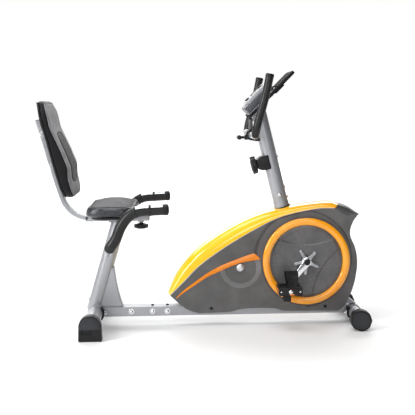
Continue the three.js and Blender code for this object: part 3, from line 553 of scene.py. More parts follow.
def round_edges(mesh, width, steps=3, angle=35, keep=None):
    limit = math.radians(angle)
    with editing(mesh) as work:
        edges = []
        for edge in work.edges:
            middle = (edge.verts[0].co + edge.verts[1].co) / 2
            sharp = len(edge.link_faces) == 2 and edge.calc_face_angle(0.0) > limit
            if sharp and (keep is None or keep(middle)):
                edges.append(edge)
        bmesh.ops.bevel(work, geom=edges, offset=width, segments=steps, profile=0.5, affect="EDGES",
                        clamp_overlap=True)


def block(x0, x1, y0, y1, z0, z1, bevel=0.0, steps=3):
    return prism([(x0, z0), (x1, z0), (x1, z1), (x0, z1)], y0, y1, bevel, steps)


def round_rect(x0, x1, y0, y1, r, arc=8):
    corners = ((x1 - r, y1 - r, 0), (x0 + r, y1 - r, 90), (x0 + r, y0 + r, 180), (x1 - r, y0 + r, 270))
    out = []
    for cx, cy, start in corners:
        for k in range(arc + 1):
            turn = math.radians(start + 90 * k / arc)
            out.append((cx + r * math.cos(turn), cy + r * math.sin(turn)))
    return out


def temporary(mesh):
    obj = bpy.data.objects.new("temporary", mesh)
    bpy.context.scene.collection.objects.link(obj)
    return obj


def after_modifiers(obj):
    """The object's mesh as its modifiers leave it."""
    graph = bpy.context.evaluated_depsgraph_get()
    return bpy.data.meshes.new_from_object(obj.evaluated_get(graph))


def with_modifier(mesh, kind, **settings):
    """The mesh after one modifier."""
    obj = temporary(mesh)
    modifier = obj.modifiers.new(kind, kind)
    for key, value in settings.items():
        setattr(modifier, key, value)
    result = after_modifiers(obj)
    bpy.data.objects.remove(obj)
    return result


def carved(mesh, *tools):
    for tool in tools:
        cutter = temporary(tool)
        mesh = with_modifier(mesh, "BOOLEAN", operation="DIFFERENCE", object=cutter, solver="EXACT")
        bpy.data.objects.remove(cutter)
    return mesh


# ---- camera, lights and floor ----------------------------------------------------------------
def step_along(tree, socket, start, end, low, high):
    """A smooth step from low to high as a coordinate goes from start to end."""
    ramp = tree.nodes.new("ShaderNodeMapRange")
    ramp.interpolation_type = "SMOOTHSTEP"
    for name, value in (("From Min", start), ("From Max", end), ("To Min", low), ("To Max", high)):
        ramp.inputs[name].default_value = value
    tree.links.new(socket, ramp.inputs["Value"])
    return ramp.outputs["Result"]


def soft_room():
    """Surroundings that are white behind the object, half bright on its left and darker elsewhere."""
    world = bpy.data.worlds.new("studio")
    world.use_nodes = True
    tree = world.node_tree
    coords = tree.nodes.new("ShaderNodeTexCoord")
    split = tree.nodes.new("ShaderNodeSeparateXYZ")
    tree.links.new(coords.outputs["Generated"], split.inputs["Vector"])
    behind = step_along(tree, split.outputs["Y"], 0.55, 0.94, 0.0, 1.0)
    aside = step_along(tree, split.outputs["X"], -0.9, 0.5, 0.55, 0.07)
    brighter = tree.nodes.new("ShaderNodeMath")
    brighter.operation = "MAXIMUM"
    tree.links.new(behind, brighter.inputs[0])
    tree.links.new(aside, brighter.inputs[1])
    tree.links.new(brighter.outputs["Value"], tree.nodes["Background"].inputs["Strength"])
    tree.nodes["Background"].inputs["Color"].default_value = (1, 1, 1, 1)
    bpy.context.scene.world = world


def area(name, at, towards, size, power):
    light = bpy.data.lights.new(name, "AREA")
    light.shape = "RECTANGLE"
    light.size, light.size_y = size
    light.energy = power
    obj = bpy.data.objects.new(name, light)
    obj.location = at
    obj.rotation_euler = (Vector(towards) - Vector(at)).to_track_quat("-Z", "Y").to_euler()
    bpy.context.scene.collection.objects.link(obj)


def photo_camera():
    """The photo's viewpoint: almost side on, a little from above, and very slightly tilted."""
    yaw, pitch, roll = math.radians(1.8), math.radians(6.33), math.radians(0.64)
    distance, target = 3.5965, Vector((0.023, 0, 0.4755))
    level = math.cos(pitch)
    forward = Vector((math.sin(yaw) * level, math.cos(yaw) * level, -math.sin(pitch)))
    flat_right = Vector((math.cos(yaw), -math.sin(yaw), 0))
    flat_up = flat_right.cross(forward)
    right = flat_right * math.cos(roll) - flat_up * math.sin(roll)
    up = flat_up * math.cos(roll) + flat_right * math.sin(roll)
    data = bpy.data.cameras.new("camera")
    data.lens = 76.83
    data.sensor_width = 36
    camera = bpy.data.objects.new("camera", data)
    placed = Matrix((right, up, -forward)).transposed().to_4x4()
    placed.translation = target - forward * distance
    camera.matrix_world = placed
    bpy.context.scene.collection.objects.link(camera)
    bpy.context.scene.camera = camera


def studio():
    photo_camera()
    area("key", (-3.0, -1.9, 2.0), (0, 0, 0.45), (1.0, 2.4), 98)
    area("overhead", (-0.3, -0.6, 3.0), (0, 0, 0), (2.8, 1.4), 44)
    area("front", (0.3, -4.6, 1.6), (0.1, 0, 0.4), (2.4, 1.2), 36)
    area("back", (-0.5, 3.2, 2.2), (0, 0, 0.5), (2.4, 1.4), 14)
    area("wash", (0, 8.5, 6.0), (0, 9.0, 0), (14, 7), 1500)
    soft_room()
    bpy.context.scene.view_settings.view_transform = "Standard"
    floor = mesh_from([(-9, -9, 0), (9, -9, 0), (9, 12, 0), (-9, 12, 0)], [(0, 1, 2, 3)])
    obj = bpy.data.objects.new("floor", floor)
    bpy.context.scene.collection.objects.link(obj)
    floor.materials.append(pale_floor())


studio()

# ---- shared places, from the frame -----------------------------------------------------------
CRANK = Vector(JOINTS["crank_spin"]["pos_m"])
CRANK_MIDDLE = Vector((CRANK.x, 0, CRANK.z))
PEDAL_AT = {side: Vector(JOINTS[f"{side}_pedal_spin"]["pos_m"]) for side, _ in SIDES}
BAR_AT = Vector(JOINTS["handlebar_tilt"]["pos_m"])
TUBE_R = 0.030
POST_SLOPE = 0.24
SEAT_SLOPE = 0.303


def post_point(z):
    """On the console post's axis at a height."""
    return Vector((0.299 - POST_SLOPE * (z - 0.585), 0, z))


def seat_post_point(z):
    return Vector((-0.3835 + SEAT_SLOPE * (z - 0.269), 0, z))


def points(*pairs):
    """Side-view outline points, given in millimetres."""
    return [(x * MM, z * MM) for x, z in pairs]


def flat(curve):
    return [(p[0], p[1]) for p in curve]


# ---- floor frame -----------------------------------------------------------------------------
def keep_cad(node, material, bevel=0.0):
    """A CAD node that stays, with a better material and softened edges."""
    obj = NODES[node]
    obj.data.materials.clear()
    obj.data.materials.append(MAT[material])
    if bevel:
        soft = obj.modifiers.new("soft_edges", "BEVEL")
        soft.width = bevel
        soft.segments = 3
        soft.limit_method = "ANGLE"
        soft.angle_limit = math.radians(40)
        soft.harden_normals = True
    shade(obj)


def cap_nut(centre, direction, r=0.0075):
    """A domed hexagon nut on a washer."""
    washer = lathe(disc_section(r * 1.55, 0, 0.0014, 0.0004), centre, direction, 32)
    nut = prism(arc_points(0, 0, r * 1.12, 0, 300, 60), 0.0014, 0.0064, 0.0006, 2, plane="xy")
    turn = Vector(direction).to_track_quat("Z", "Y").to_matrix().to_4x4()
    turn.translation = centre
    low, tall = 0.006, r * 0.75
    dome = [(0, 0.004), (r * 0.95, 0.004)] + quarter(r * 0.95, low, tall, 15) + [(0, low + tall)]
    return merged(washer, moved(nut, turn), lathe(dome, centre, direction, 32))


def nut_pair(x, z):
    """Nuts on both sides of the beam."""
    return merged(*[cap_nut((x, s * 0.0303, z), (0, s, 0)) for s in (-1, 1)])


def socket_screw(centre, direction, r=0.006):
    """A button-head screw with a hexagon socket."""
    return lathe([(0, 0), (r, 0), (r, r * 0.25), (r * 0.86, r * 0.5), (r * 0.6, r * 0.64),
                  (r * 0.42, r * 0.66), (r * 0.4, r * 0.2), (0, r * 0.18)], centre, direction, 32)


def stabilizer(node, foot_r):
    """A cross tube with the wider saddle that its bolts go through, and a collar by each cap."""
    low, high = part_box(node)
    axis = (low + high) / 2
    bar = crosswise(axis, low.y, high.y, foot_r, 48)
    saddle_half = 0.034
    saddle = crosswise(axis, -saddle_half, saddle_half, (high.z - low.z) / 2, 48, edge=0.002)
    piece(node + "_tube", merged(bar, saddle), "frame", "silver_paint", (node,))
    collars = [crosswise(axis, s * (high.y - 0.032), s * (high.y - 0.018), foot_r + 0.0011, 48)
               for s in (-1, 1)]
    piece(node + "_collars", merged(*collars), "frame", "silver_paint")


def rear_caps():
    low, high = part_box("rear_cap_right")
    x, z = (low.x + high.x) / 2, 0.057
    foot = [(x - 0.045, 0.003), (x - 0.042, 0), (x + 0.042, 0), (x + 0.045, 0.003)]
    body = prism(foot + arc_points(x, z, 0.043, 0, 180, 6), low.y, high.y, 0.0028, 4)
    slot = block(x - 0.034, x + 0.009, low.y - 0.01, low.y + 0.006, 0.030, 0.043, 0.002, 2)
    upper = [(x - 0.0405, 0.047), (x + 0.0405, 0.047)] + arc_points(x, z, 0.0385, 0, 180, 6)
    face = prism(upper, low.y - 0.0016, low.y + 0.002, 0.0012, 3)
    ribs = [block(x - 0.043, x + 0.043, low.y + 0.004, high.y - 0.004, 0.008 + 0.007 * k,
                  0.0105 + 0.007 * k, 0.0008, 2) for k in range(3)]
    on_both_sides(("rear_cap_body_{}", carved(body, slot), "frame", "black_plastic", "rear_cap_{}"),
                  ("rear_cap_face_{}", face, "frame", "dark_plastic"),
                  ("rear_cap_ribs_{}", merged(*ribs), "frame", "black_plastic"))


def front_caps():
    """Lobed end caps with the transport wheels in them."""
    low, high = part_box("front_cap_right")
    x, z, r = (low.x + high.x) / 2, 0.0415, 0.041
    outline = [(x + r * 1.018, z)]
    for k in range(1, 96):
        turn = 2 * math.pi * k / 96
        edge = r * (1.0 + 0.018 * math.cos(8 * turn))
        outline.append((x + edge * math.cos(turn), max(z + edge * math.sin(turn), 0.0)))
    wheel_at = Vector(JOINTS["right_wheel_spin"]["pos_m"])
    body = carved(prism(outline, low.y, high.y, 0.005, 5), crosswise(wheel_at, -0.1905, -0.1755, 0.0242, 48))
    face = lathe(rounded([(0, 0), (0.0335, 0), (0.0335, 0.0016), (0.024, 0.0026), (0, 0.0028)], 0.0006),
                 (x, low.y + 0.0004, z), sides=64)
    half = [(0.0044, -0.007), (0.012, -0.007), (0.014, -0.0055), (0.0185, -0.0055), (0.0205, -0.007),
            (0.022, -0.005)]
    tread = half + [(r, -t) for r, t in reversed(half)] + half[:1]
    for side, sign in SIDES:
        piece(f"front_cap_body_{side}", on_side(body, sign), "frame", "black_plastic", (f"front_cap_{side}",))
        piece(f"front_cap_face_{side}", on_side(face, sign), "frame", "dark_plastic")
        wheel = f"transport_wheel_{side}"
        roller = lathe(tread, JOINTS[f"{side}_wheel_spin"]["pos_m"], (0, 1, 0), 64)
        piece(f"transport_roller_{side}", roller, wheel, "rubber", (wheel,))


def clamp_washers(name, foot, out, r):
    """Curved washers and nuts that hold a stabilizer to the frame."""
    curved, nuts = [], []
    for y in (-0.047, 0.047):
        turns = [math.radians(a) for a in range(-48, 49, 8)]
        inner, outer = [[(foot.x + reach * math.cos(turn) * out, foot.z + reach * math.sin(turn))
                         for turn in turns] for reach in (r - 0.0015, r + 0.004)]
        curved.append(prism(inner + outer[::-1], y - 0.011, y + 0.011, 0.001, 2))
        nuts.append(cap_nut((foot.x + out * (r + 0.004), y, foot.z), (out, 0, 0)))
    piece(f"{name}_clamp_washers", merged(*curved), "frame", "black_plastic")
    piece(f"{name}_clamp_nuts", merged(*nuts), "frame", "chrome")


def floor_frame():
    keep_cad("main_beam", "silver_paint", 0.003)
    keep_cad("rear_frame", "silver_paint", 0.003)
    stabilizer("rear_stabilizer", 0.030)
    stabilizer("front_stabilizer", 0.025)
    rear_caps()
    front_caps()
    beam_mid, beam_top = 0.057, 0.0762
    for i, x in enumerate((-0.207, -0.146), 1):
        piece(f"beam_cap_nuts_{i}", nut_pair(x, beam_mid), "frame", "chrome", (f"beam_bolt_{i}",))
        screw = socket_screw((x, 0, beam_top), (0, 0, 1), 0.0065)
        piece(f"beam_top_screw_{i}", screw, "frame", "black_plastic")
    piece("beam_rear_nuts", nut_pair(-0.292, beam_mid), "frame", "chrome")
    clamp_washers("rear", Vector((-0.437, 0, beam_mid)), 1, 0.0335)
    clamp_washers("front", Vector((0.617, 0, 0.043)), -1, 0.029)


# ---- casing ----------------------------------------------------------------------------------
TOP_LINE = points((-143, 138), (-104, 217), (-33, 300), (56, 364), (150, 417), (249, 457), (358, 482),
                  (467, 496), (521, 497), (550, 489))
SEAM_LINE = points((-134, 127), (-77, 183), (-15, 245), (68, 306), (167, 367), (278, 425), (354, 451),
                   (461, 471), (531, 472))
NOSE_TOP = points((550, 489), (572, 483), (597, 472), (629, 449))
NOSE_JOINT = points((531, 472), (580, 443), (607, 447), (629, 448))
FRONT_LINE = points((628, 447), (607, 418), (595, 385), (597, 354), (615, 311), (624, 255), (617, 188),
                    (600, 128), (571, 72), (546, 53))
FLOOR_LINE = points((546, 53), (450, 55), (331, 57), (290, 67), (220, 70), (150, 67), (110, 57), (40, 54),
                    (-17, 53))
TAIL_LINE = points((-17, 53), (-60, 66), (-96, 92), (-128, 122), (-134, 127))
STRIPE_UPPER = points((-110, 117), (-78, 148), (-32, 182), (10, 212), (53, 237), (95, 256), (138, 272),
                      (180, 287), (206, 294))
STRIPE_LOWER = points((233, 270), (194, 264), (152, 256), (109, 241), (67, 223), (24, 204), (-15, 180),
                      (-61, 150), (-89, 130), (-108, 115))
SHELL_HALF = 0.062
SHELL_THICK = 0.0035
WELL_R, WELL_FLOOR = 0.1825, 0.0545
RECESS_R, RECESS_SHIFT = 0.1990, (-0.0135, 0.0095)
DISH_AT = Vector((0.151, 0, 0.236))
DISH_FLOOR, DISH_RIM, DISH_DEEP = 0.058, 0.083, 0.0575


def hollow(mesh):
    """A closed skin or sheet turned into a thin shell, inwards."""
    return with_modifier(mesh, "SOLIDIFY", thickness=SHELL_THICK, offset=-1)


def lofted(rows):
    """A grid of points skinned into faces."""
    wide = len(rows[0])
    faces = []
    for i in range(len(rows) - 1):
        for k in range(wide - 1):
            a = i * wide + k
            faces.append((a, a + 1, a + 1 + wide, a + wide))
    return mesh_from([p for row in rows for p in row], faces)


def arch_rows(top, seam, half, fullness=2.5):
    """Sections from one side's seam over the crown to the other's."""
    columns = 28
    rows = []
    for crown, edge in zip(top, seam):
        row = []
        for k in range(columns + 1):
            turn = math.pi * k / columns
            c, s = abs(math.sin(turn)), math.cos(turn)
            lift = c ** (2 / fullness)
            y = -half * math.copysign(abs(s) ** (2 / fullness), s)
            x = edge[0] + (crown[0] - edge[0]) * lift
            z = edge[1] + (crown[1] - edge[1]) * lift
            row.append(Vector((x, y, z)))
        rows.append(row)
    return rows


def top_cover():
    top, seam = [even(catmull(line, 240), 90) for line in (TOP_LINE, SEAM_LINE)]
    rows = arch_rows(top, seam, SHELL_HALF - 0.0006)
    tip = rows[0]
    middle = sum(tip, Vector()) / len(tip)
    rows.insert(0, [p.lerp(middle, 0.35) + Vector((-0.0012, 0, -0.0012)) for p in tip])
    post_hole = straight(post_point(0.40), post_point(0.60), TUBE_R + 0.0008, 48)
    shell = carved(hollow(lofted(rows)), post_hole)
    piece("top_cover_shell", shell, "frame", "yellow_shell", ("top_cover",), 50)


def nose_trim():
    top, joint = [even(catmull(line, 60), 24) for line in (NOSE_TOP, NOSE_JOINT)]
    rows = arch_rows(top, joint, SHELL_HALF + 0.0004, 3.0)
    piece("nose_trim_shell", hollow(lofted(rows)), "frame", "dark_shell", ("nose_trim",), 50)


def above_stripe():
    """Where the dish is hidden: everything over the middle of the accent stripe."""
    middle = [(x, z + 0.005) for x, z in flat(catmull(STRIPE_LOWER, 50))]
    return middle + points((-200, 115), (-200, 460), (330, 460), (330, 275))


def crank_recess():
    """What is cut round the crank disc: a well, and a shallow slope that lies off centre from it."""
    turns = [math.pi * k / 80 for k in range(160)]
    loops = []
    for r, y, (dx, dz) in ((WELL_R, WELL_FLOOR, (0, 0)), (RECESS_R, SHELL_HALF, RECESS_SHIFT),
                           (RECESS_R, 0.08, RECESS_SHIFT)):
        loops.append([Vector((CRANK.x + dx + r * math.cos(turn), -y, CRANK.z + dz + r * math.sin(turn)))
                      for turn in turns])
    below_tip = block(CRANK.x - 0.25, CRANK.x, -0.09, -0.04, CRANK.z - 0.25, 0.268)
    return carved(loops_mesh(loops), below_tip), crosswise(CRANK, -0.08, -WELL_FLOOR, WELL_R, 160)


def dish_bowl():
    """What is cut for the round dish, up to the accent stripe."""
    outer = 0.08
    bowl = lathe([(0, DISH_DEEP), (DISH_FLOOR, DISH_DEEP), (DISH_RIM, SHELL_HALF), (DISH_RIM, outer),
                  (0, outer)], DISH_AT, sides=128)
    return carved(bowl, prism(above_stripe(), -0.09, -0.03))


def cover_mesh():
    """The right shell: the casing's side, open towards the middle, with its recesses and holes."""
    seam = flat(catmull(SEAM_LINE, 80))
    outline = seam + flat(NOSE_JOINT[1:-1])
    outline += flat(catmull(FRONT_LINE, 60)) + flat(catmull(FLOOR_LINE, 50))[1:]
    outline += flat(catmull(TAIL_LINE, 16))[1:-1]

    def away_from_seam(middle):
        nearest = min(seam, key=lambda p: abs(p[0] - middle.x))
        return middle.y < -0.03 and (middle.z < nearest[1] - 0.006 or middle.x > 0.6)

    shell = prism(outline, -SHELL_HALF, -0.0003, 0.013, 6, keep=away_from_seam)
    shell = carved(shell, *crank_recess(), dish_bowl())
    with editing(shell) as work:
        inner = [face for face in work.faces if all(v.co.y > -0.0005 for v in face.verts)]
        bmesh.ops.delete(work, geom=inner, context="FACES_ONLY")
    beam = block(-0.25, 0.70, -0.0306, 0.0306, 0.0, 0.0766)
    front_leg = block(0.555, 0.70, -0.024, 0.024, 0.05, 0.110)
    return carved(hollow(shell), beam, front_leg, crosswise(CRANK, -0.09, -0.04, 0.016, 48))


def side_covers():
    shell = cover_mesh()
    for side, sign in SIDES:
        cover = f"{side}_cover"
        obj = piece(f"{cover}_shell", on_side(shell, sign), "frame", "grey_shell", (cover,), 30)
        # Two more colours: a lighter grey for painted light on the dish's cone, and the dark shell colour for
        # painted shade on the slope round the crank disc.
        obj.data.materials.append(MAT["dish_lit_grey"])
        obj.data.materials.append(MAT["dark_shell"])
        for face in obj.data.polygons:
            at = face.center
            reach = math.hypot(at.x - DISH_AT.x, at.z - DISH_AT.z)
            from_crank = math.hypot(at.x - CRANK.x, at.z - CRANK.z)
            sloped = 0.02 < abs(face.normal.y) < 0.995 and WELL_FLOOR + 0.0001 < abs(at.y) < SHELL_HALF
            # The dish's cone takes the lighter grey: painted light.
            if sloped and DISH_FLOOR - 0.001 < reach < DISH_RIM + 0.001 and from_crank > 0.19:
                face.material_index = 1
            # The slope round the crank disc takes the dark shell colour: painted shade on the recess.
            elif sloped and from_crank < 0.216:
                face.material_index = 2


def side_trim():
    """Accent stripe, the dish's dome, a dark ring that paints the shadow round the crank disc, a light cord
    along the seam that paints its highlight, and screws.
    """
    swoosh = flat(catmull(STRIPE_UPPER, 50)) + points((220, 283)) + flat(catmull(STRIPE_LOWER, 50))
    stripe = prism(swoosh, -SHELL_HALF - 0.0016, -SHELL_HALF + 0.0082, 0.0008, 2)
    dome_r = 0.0165
    badge = lathe([(0, 0.0565), (dome_r, 0.0565)] + quarter(dome_r, DISH_DEEP, 0.0110, 9) + [(0, 0.0685)],
                  DISH_AT, sides=64)
    # A dark ring just outside the crank disc's orange ring: painted shadow in the gap between ring and
    # casing.
    gap_shadow_ring = lathe(ring_section(0.148, 0.1815, 0.0535, 0.0575, 0.0008), CRANK_MIDDLE, sides=160)
    screws = merged(*[socket_screw((x, -SHELL_HALF - 0.0002, z), (0, -1, 0), 0.0062)
                      for x, z in points((32, 72), (494, 72))])
    # A light grey cord along the seam between the yellow and grey covers: painted highlight of the seam's
    # edge catching the light.
    seam = even(catmull([Vector((x, -SHELL_HALF + 0.0004, z)) for x, z in SEAM_LINE], 200), 120)
    highlight_bead = tube(seam, lambda share: 0.0019 - 0.0011 * share, 12, start="dome", end="dome")
    on_both_sides(("accent_stripe_{}", stripe, "frame", "orange_trim"),
                  ("badge_dome_{}", badge, "frame", "satin_metal"),
                  ("disc_gap_shadow_{}", gap_shadow_ring, "frame", "rubber"),
                  ("seam_highlight_bead_{}", highlight_bead, "frame", "console_silver"),
                  ("cover_screws_{}", screws, "frame", "black_plastic"))


def inside_drive():
    for node, material in (("head_frame", "silver_paint"), ("crank_axle", "steel"), ("flywheel", "steel"),
                           ("flywheel_axle", "steel"), ("magnet_bracket", "steel"),
                           ("drive_pulley", "black_plastic"), ("idler_pulley", "black_plastic"),
                           ("drive_belt", "rubber")):
        keep_cad(node, material)


def casing():
    side_covers()
    top_cover()
    nose_trim()
    side_trim()
    inside_drive()


# ---- cranks and pedals -----------------------------------------------------------------------
DISC_FACE, DISC_BACK = 0.0746, 0.0668
DISC_INNER, DISC_OUTER = 0.0104, 0.1457
AXLE_HOLE = DISC_INNER


def smooth_step(value, low, high):
    t = max(0.0, min(1.0, (value - low) / (high - low)))
    return t * t * (3 - 2 * t)


def disc_height(r, turn):
    """How far the disc's face is from the middle plane: a raised three-pointed field, falling rim."""
    reach, radius = 0.337, 0.270
    field = 1.0
    for k in range(3):
        at = math.radians(90 + 120 * k)
        gap = math.hypot(r * math.cos(turn) - reach * math.cos(at),
                         r * math.sin(turn) - reach * math.sin(at)) - radius
        field = min(field, smooth_step(gap, -0.0032, 0.0032))
    rim = smooth_step(r, 0.133, 0.1455)
    boss = smooth_step(0.026 - r, 0.0, 0.004)
    return DISC_FACE - 0.0045 * (1 - field) * (1 - 0.6 * rim) - 0.0045 * rim - 0.0012 * boss


def crank_disc_mesh():
    sides, rows = 288, 110
    across, up = Vector((1, 0, 0)), Vector((0, 0, 1))
    verts = []
    for i in range(rows + 1):
        r = DISC_INNER + (DISC_OUTER - DISC_INNER) * i / rows
        for k, p in enumerate(circle(CRANK_MIDDLE, across, up, r, sides)):
            verts.append(Vector((p.x, -disc_height(r, 2 * math.pi * k / sides), p.z)))
    for r in (DISC_OUTER, DISC_INNER):
        verts += circle(CRANK_MIDDLE + Vector((0, -DISC_BACK, 0)), across, up, r, sides)
    return mesh_from(verts, ring_faces(rows + 3, sides, closed=True))


def crank_ring_mesh():
    middle, half = 0.161, 0.0147
    profile = [(middle - half, DISC_BACK)]
    for k in range(25):
        turn = math.pi * k / 24
        profile.append((middle - half * math.cos(turn), 0.0735 + 0.0103 * math.sin(turn) ** 0.8))
    profile += [(middle + half, DISC_BACK), (middle - half, DISC_BACK)]
    return lathe(profile, CRANK_MIDDLE, sides=192)


def turned_about_crank(mesh, degrees):
    """Turns a side-view mesh about the crank's axis, anticlockwise as the right-hand side shows it."""
    turn = Matrix.Rotation(math.radians(-degrees), 4, "Y")
    return moved(mesh, Matrix.Translation(CRANK_MIDDLE) @ turn @ Matrix.Translation(-CRANK_MIDDLE))


def mirrored_outline(half):
    """An outline round the crank's axle from its upper half, given from the axle out."""
    lower = [(x, -z) for x, z in half]
    return [(CRANK.x + x, CRANK.z + z) for x, z in lower + [p for p in reversed(half) if p[1]]]


def crank_hub(high):
    return lathe(ring_section(AXLE_HOLE, 0.019, 0.0752, high, 0.001), CRANK_MIDDLE, sides=64)


def spider_mesh():
    arm = prism(mirrored_outline([(0.006, 0.0105), (0.018, 0.0085), (0.030, 0.0058), (0.046, 0.0062),
                                  (0.0525, 0.0045), (0.054, 0.0)]), -0.0820, -0.0752, 0.0011, 2)
    slot = prism(mirrored_outline([(0.018, 0.0035), (0.034, 0.0022), (0.047, 0.0026)]), -0.090, -0.0795)
    arm = carved(arm, slot)
    return merged(crank_hub(0.0865), *[turned_about_crank(arm, 47 + 72 * k) for k in range(5)])


def crank_arm_mesh(end):
    """A forged arm from the axle to the pedal's eye, on the right."""
    a, b = Vector((CRANK.x, CRANK.z)), Vector((end.x, end.z))
    along = (b - a).normalized()
    across = Vector((-along.y, along.x))

    def half_round(centre, r, start):
        turns = [math.radians(start + 180 * k / 12) for k in range(13)]
        return [centre + (along * math.cos(turn) + across * math.sin(turn)) * r for turn in turns]

    waist = [(0.3, 0.0125), (0.7, 0.0105)]
    outline = half_round(a, 0.0165, 90) + [a.lerp(b, share) - across * half for share, half in waist]
    outline += half_round(b, 0.0130, -90) + [a.lerp(b, share) + across * half for share, half in waist[::-1]]
    arm = prism(flat(outline), -0.0988, -0.0868, 0.0028, 4)
    return merged(arm, lathe(disc_section(0.0118, 0.0865, 0.0995, 0.001), (end.x, 0, end.z), sides=48))


def strap_mesh(at):
    """A moulded foot strap: an arch over the pedal, wider over the foot, with a raised edge."""
    middle, half, low, rise = -0.154, 0.0505, 0.010, 0.031
    path = [Vector((0, middle - half, low + rise * k / 8)) for k in range(9)]
    for k in range(1, 32):
        turn = math.pi * k / 32
        path.append(Vector((0, middle - half * math.cos(turn), low + rise + rise * math.sin(turn))))
    path += [Vector((0, middle + half, low + rise - rise * k / 8)) for k in range(9)]
    section = [(-1, 0.0), (-0.97, 0.0016), (-0.88, 0.0018), (-0.82, 0.0011), (0.82, 0.0011),
               (0.88, 0.0018), (0.97, 0.0016), (1, 0.0), (0.97, -0.0009), (-0.97, -0.0009)]
    loops = []
    for i, p in enumerate(path):
        tangent = heading(path, i)
        out = Vector((0, tangent.z, -tangent.y))
        if out.dot(p - Vector((0, middle, 0.02))) < 0:
            out = -out
        wide = 0.015 + 0.0105 * math.sin(math.pi * i / (len(path) - 1)) ** 1.2
        loops.append([Vector((at.x + 0.007 + u * wide, p.y, at.z + p.z)) + out * lift for u, lift in section])
    holes = [crosswise(at + Vector((0.006, 0, h)), -0.24, -0.18, 0.0028, 20) for h in (0.026, 0.036)]
    return carved(loops_mesh(loops), *holes)


def pedal_block(at, x0, x1, y0, y1, z0, z1, bevel, steps=2):
    """A block placed from the pedal's axis in x and z."""
    return block(at.x + x0, at.x + x1, y0, y1, at.z + z0, at.z + z1, bevel, steps)


def pedal_meshes(at):
    """The pedal's body, studs, dust cap, amber reflectors and red reflector."""
    low, high = -0.203, -0.105
    outline = [(at.x + x, at.z + z) for x, z in round_rect(-0.046, 0.046, -0.016, 0.016, 0.007)]
    body = [prism(outline, y, y + 0.009, 0.0018, 3) for y in (low, high - 0.009)]
    for x0, x1 in ((-0.0455, -0.0335), (0.0335, 0.0455)):
        body.append(pedal_block(at, x0, x1, low + 0.004, high - 0.004, -0.0135, 0.0125, 0.002))
        for k in range(7):
            y = low + 0.012 + 0.0116 * k
            body.append(pedal_block(at, x0 + 0.001, x1 - 0.001, y, y + 0.0062, 0.010, 0.0158, 0.0012))
    body.append(crosswise(at, low + 0.004, high - 0.002, 0.0118, 40))
    for y in (low + 0.030, low + 0.049, low + 0.068):
        body.append(pedal_block(at, -0.036, 0.036, y - 0.0025, y + 0.0025, -0.010, 0.0105, 0.001))
    weight = pedal_block(at, -0.025, 0.005, low + 0.028, high - 0.028, -0.0455, -0.009, 0.005, 4)
    studs = [socket_screw((at.x + x, low, at.z), (0, -1, 0), 0.0034) for x in (-0.037, 0.037)]
    cap = lathe([(0, 0), (0.0085, 0)] + quarter(0.0085, 0.0005, 0.0028, 15) + [(0, 0.0033)],
                (at.x, low, at.z), sides=40)
    ends = [pedal_block(at, x, x + 0.0016, low + 0.022, high - 0.022, -0.007, 0.006, 0.0006)
            for x in (0.0452, -0.0468)]
    face = low - 0.0012, low + 0.001
    amber = pedal_block(at, -0.004, 0.014, *face, -0.0130, -0.0085, 0.0006)
    red = pedal_block(at, -0.006, 0.010, *face, 0.0090, 0.0140, 0.0006)
    return merged(*body, weight), merged(*studs), cap, merged(*ends, amber), red


def opposite(mesh):
    """The left-hand twin of a piece of the right crank, half a turn away."""
    return turned_about_crank(on_side(mesh, 1), 180)


def cranks():
    end = PEDAL_AT["right"]
    disc, ring = crank_disc_mesh(), crank_ring_mesh()
    arm = merged(crank_arm_mesh(end), crank_hub(0.0875))
    cap = lathe([(0, 0.0985), (0.0122, 0.0985), (0.0122, 0.1000), (0.0112, 0.1014), (0.006, 0.1022),
                 (0, 0.1024)], CRANK_MIDDLE, sides=48)
    spindle = merged(crosswise(end, -0.1965, -0.0875, 0.0065),
                     crosswise(end, -0.1045, -0.0992, 0.0092, 6, edge=0.0006))
    body = "crankset"
    piece("crank_disc_face_right", disc, body, "disc_grey", ("crank_disc_right",), 40)
    piece("crank_disc_face_left", opposite(disc), body, "disc_grey", ("crank_disc_left",), 40)
    piece("crank_ring_trim_right", ring, body, "ring_orange", ("crank_ring_right",), 50)
    piece("crank_ring_trim_left", on_side(ring, 1), body, "ring_orange", ("crank_ring_left",), 50)
    piece("spider_five_arm", spider_mesh(), body, "steel")
    piece("crank_arm_right", arm, body, "chrome", ("right_crank",))
    piece("crank_arm_left", opposite(arm), body, "chrome", ("left_crank",))
    on_both_sides(("dust_cap_{}", cap, body, "black_plastic"))
    piece("pedal_spindle_right", spindle, body, "steel", ("right_spindle",))
    piece("pedal_spindle_left", opposite(spindle), body, "steel", ("left_spindle",))


def pedals():
    at = PEDAL_AT["right"]
    tread, studs, cap, amber, red = pedal_meshes(at)
    rows = (("tread", tread, "black_plastic", "{}_pedal"), ("studs", studs, "chrome"),
            ("dust_cap", cap, "chrome"), ("reflectors", amber, "reflector"),
            ("red_reflector", red, "reflector_red"), ("foot_strap", strap_mesh(at), "strap", "{}_strap"))
    to_left = Matrix.Translation(PEDAL_AT["left"] - Vector((at.x, -at.y, at.z)))
    for side, sign in SIDES:
        shift = to_left if sign > 0 else Matrix.Identity(4)
        for name, mesh, material, *nodes in rows:
            piece(f"pedal_{name}_{side}", moved(on_side(mesh, sign), shift), f"{side}_pedal", material,
                  tuple(node.format(side) for node in nodes))


# ---- posts, tension control and handlebar ----------------------------------------------------
CONSOLE = Matrix.Rotation(math.radians(-45), 4, "Y")
LEAN = math.atan(POST_SLOPE)
SKIN_TILT = Vector((-0.28, 0, 1))


def on_post(z):
    """Axes of a piece on the console post: x out of its back, z up along it."""
    at = post_point(z)
    c, s = math.cos(LEAN), math.sin(LEAN)
    return Matrix(((-c, 0, -s, at.x), (0, -1, 0, 0), (-s, 0, c, at.z), (0, 0, 0, 1)))


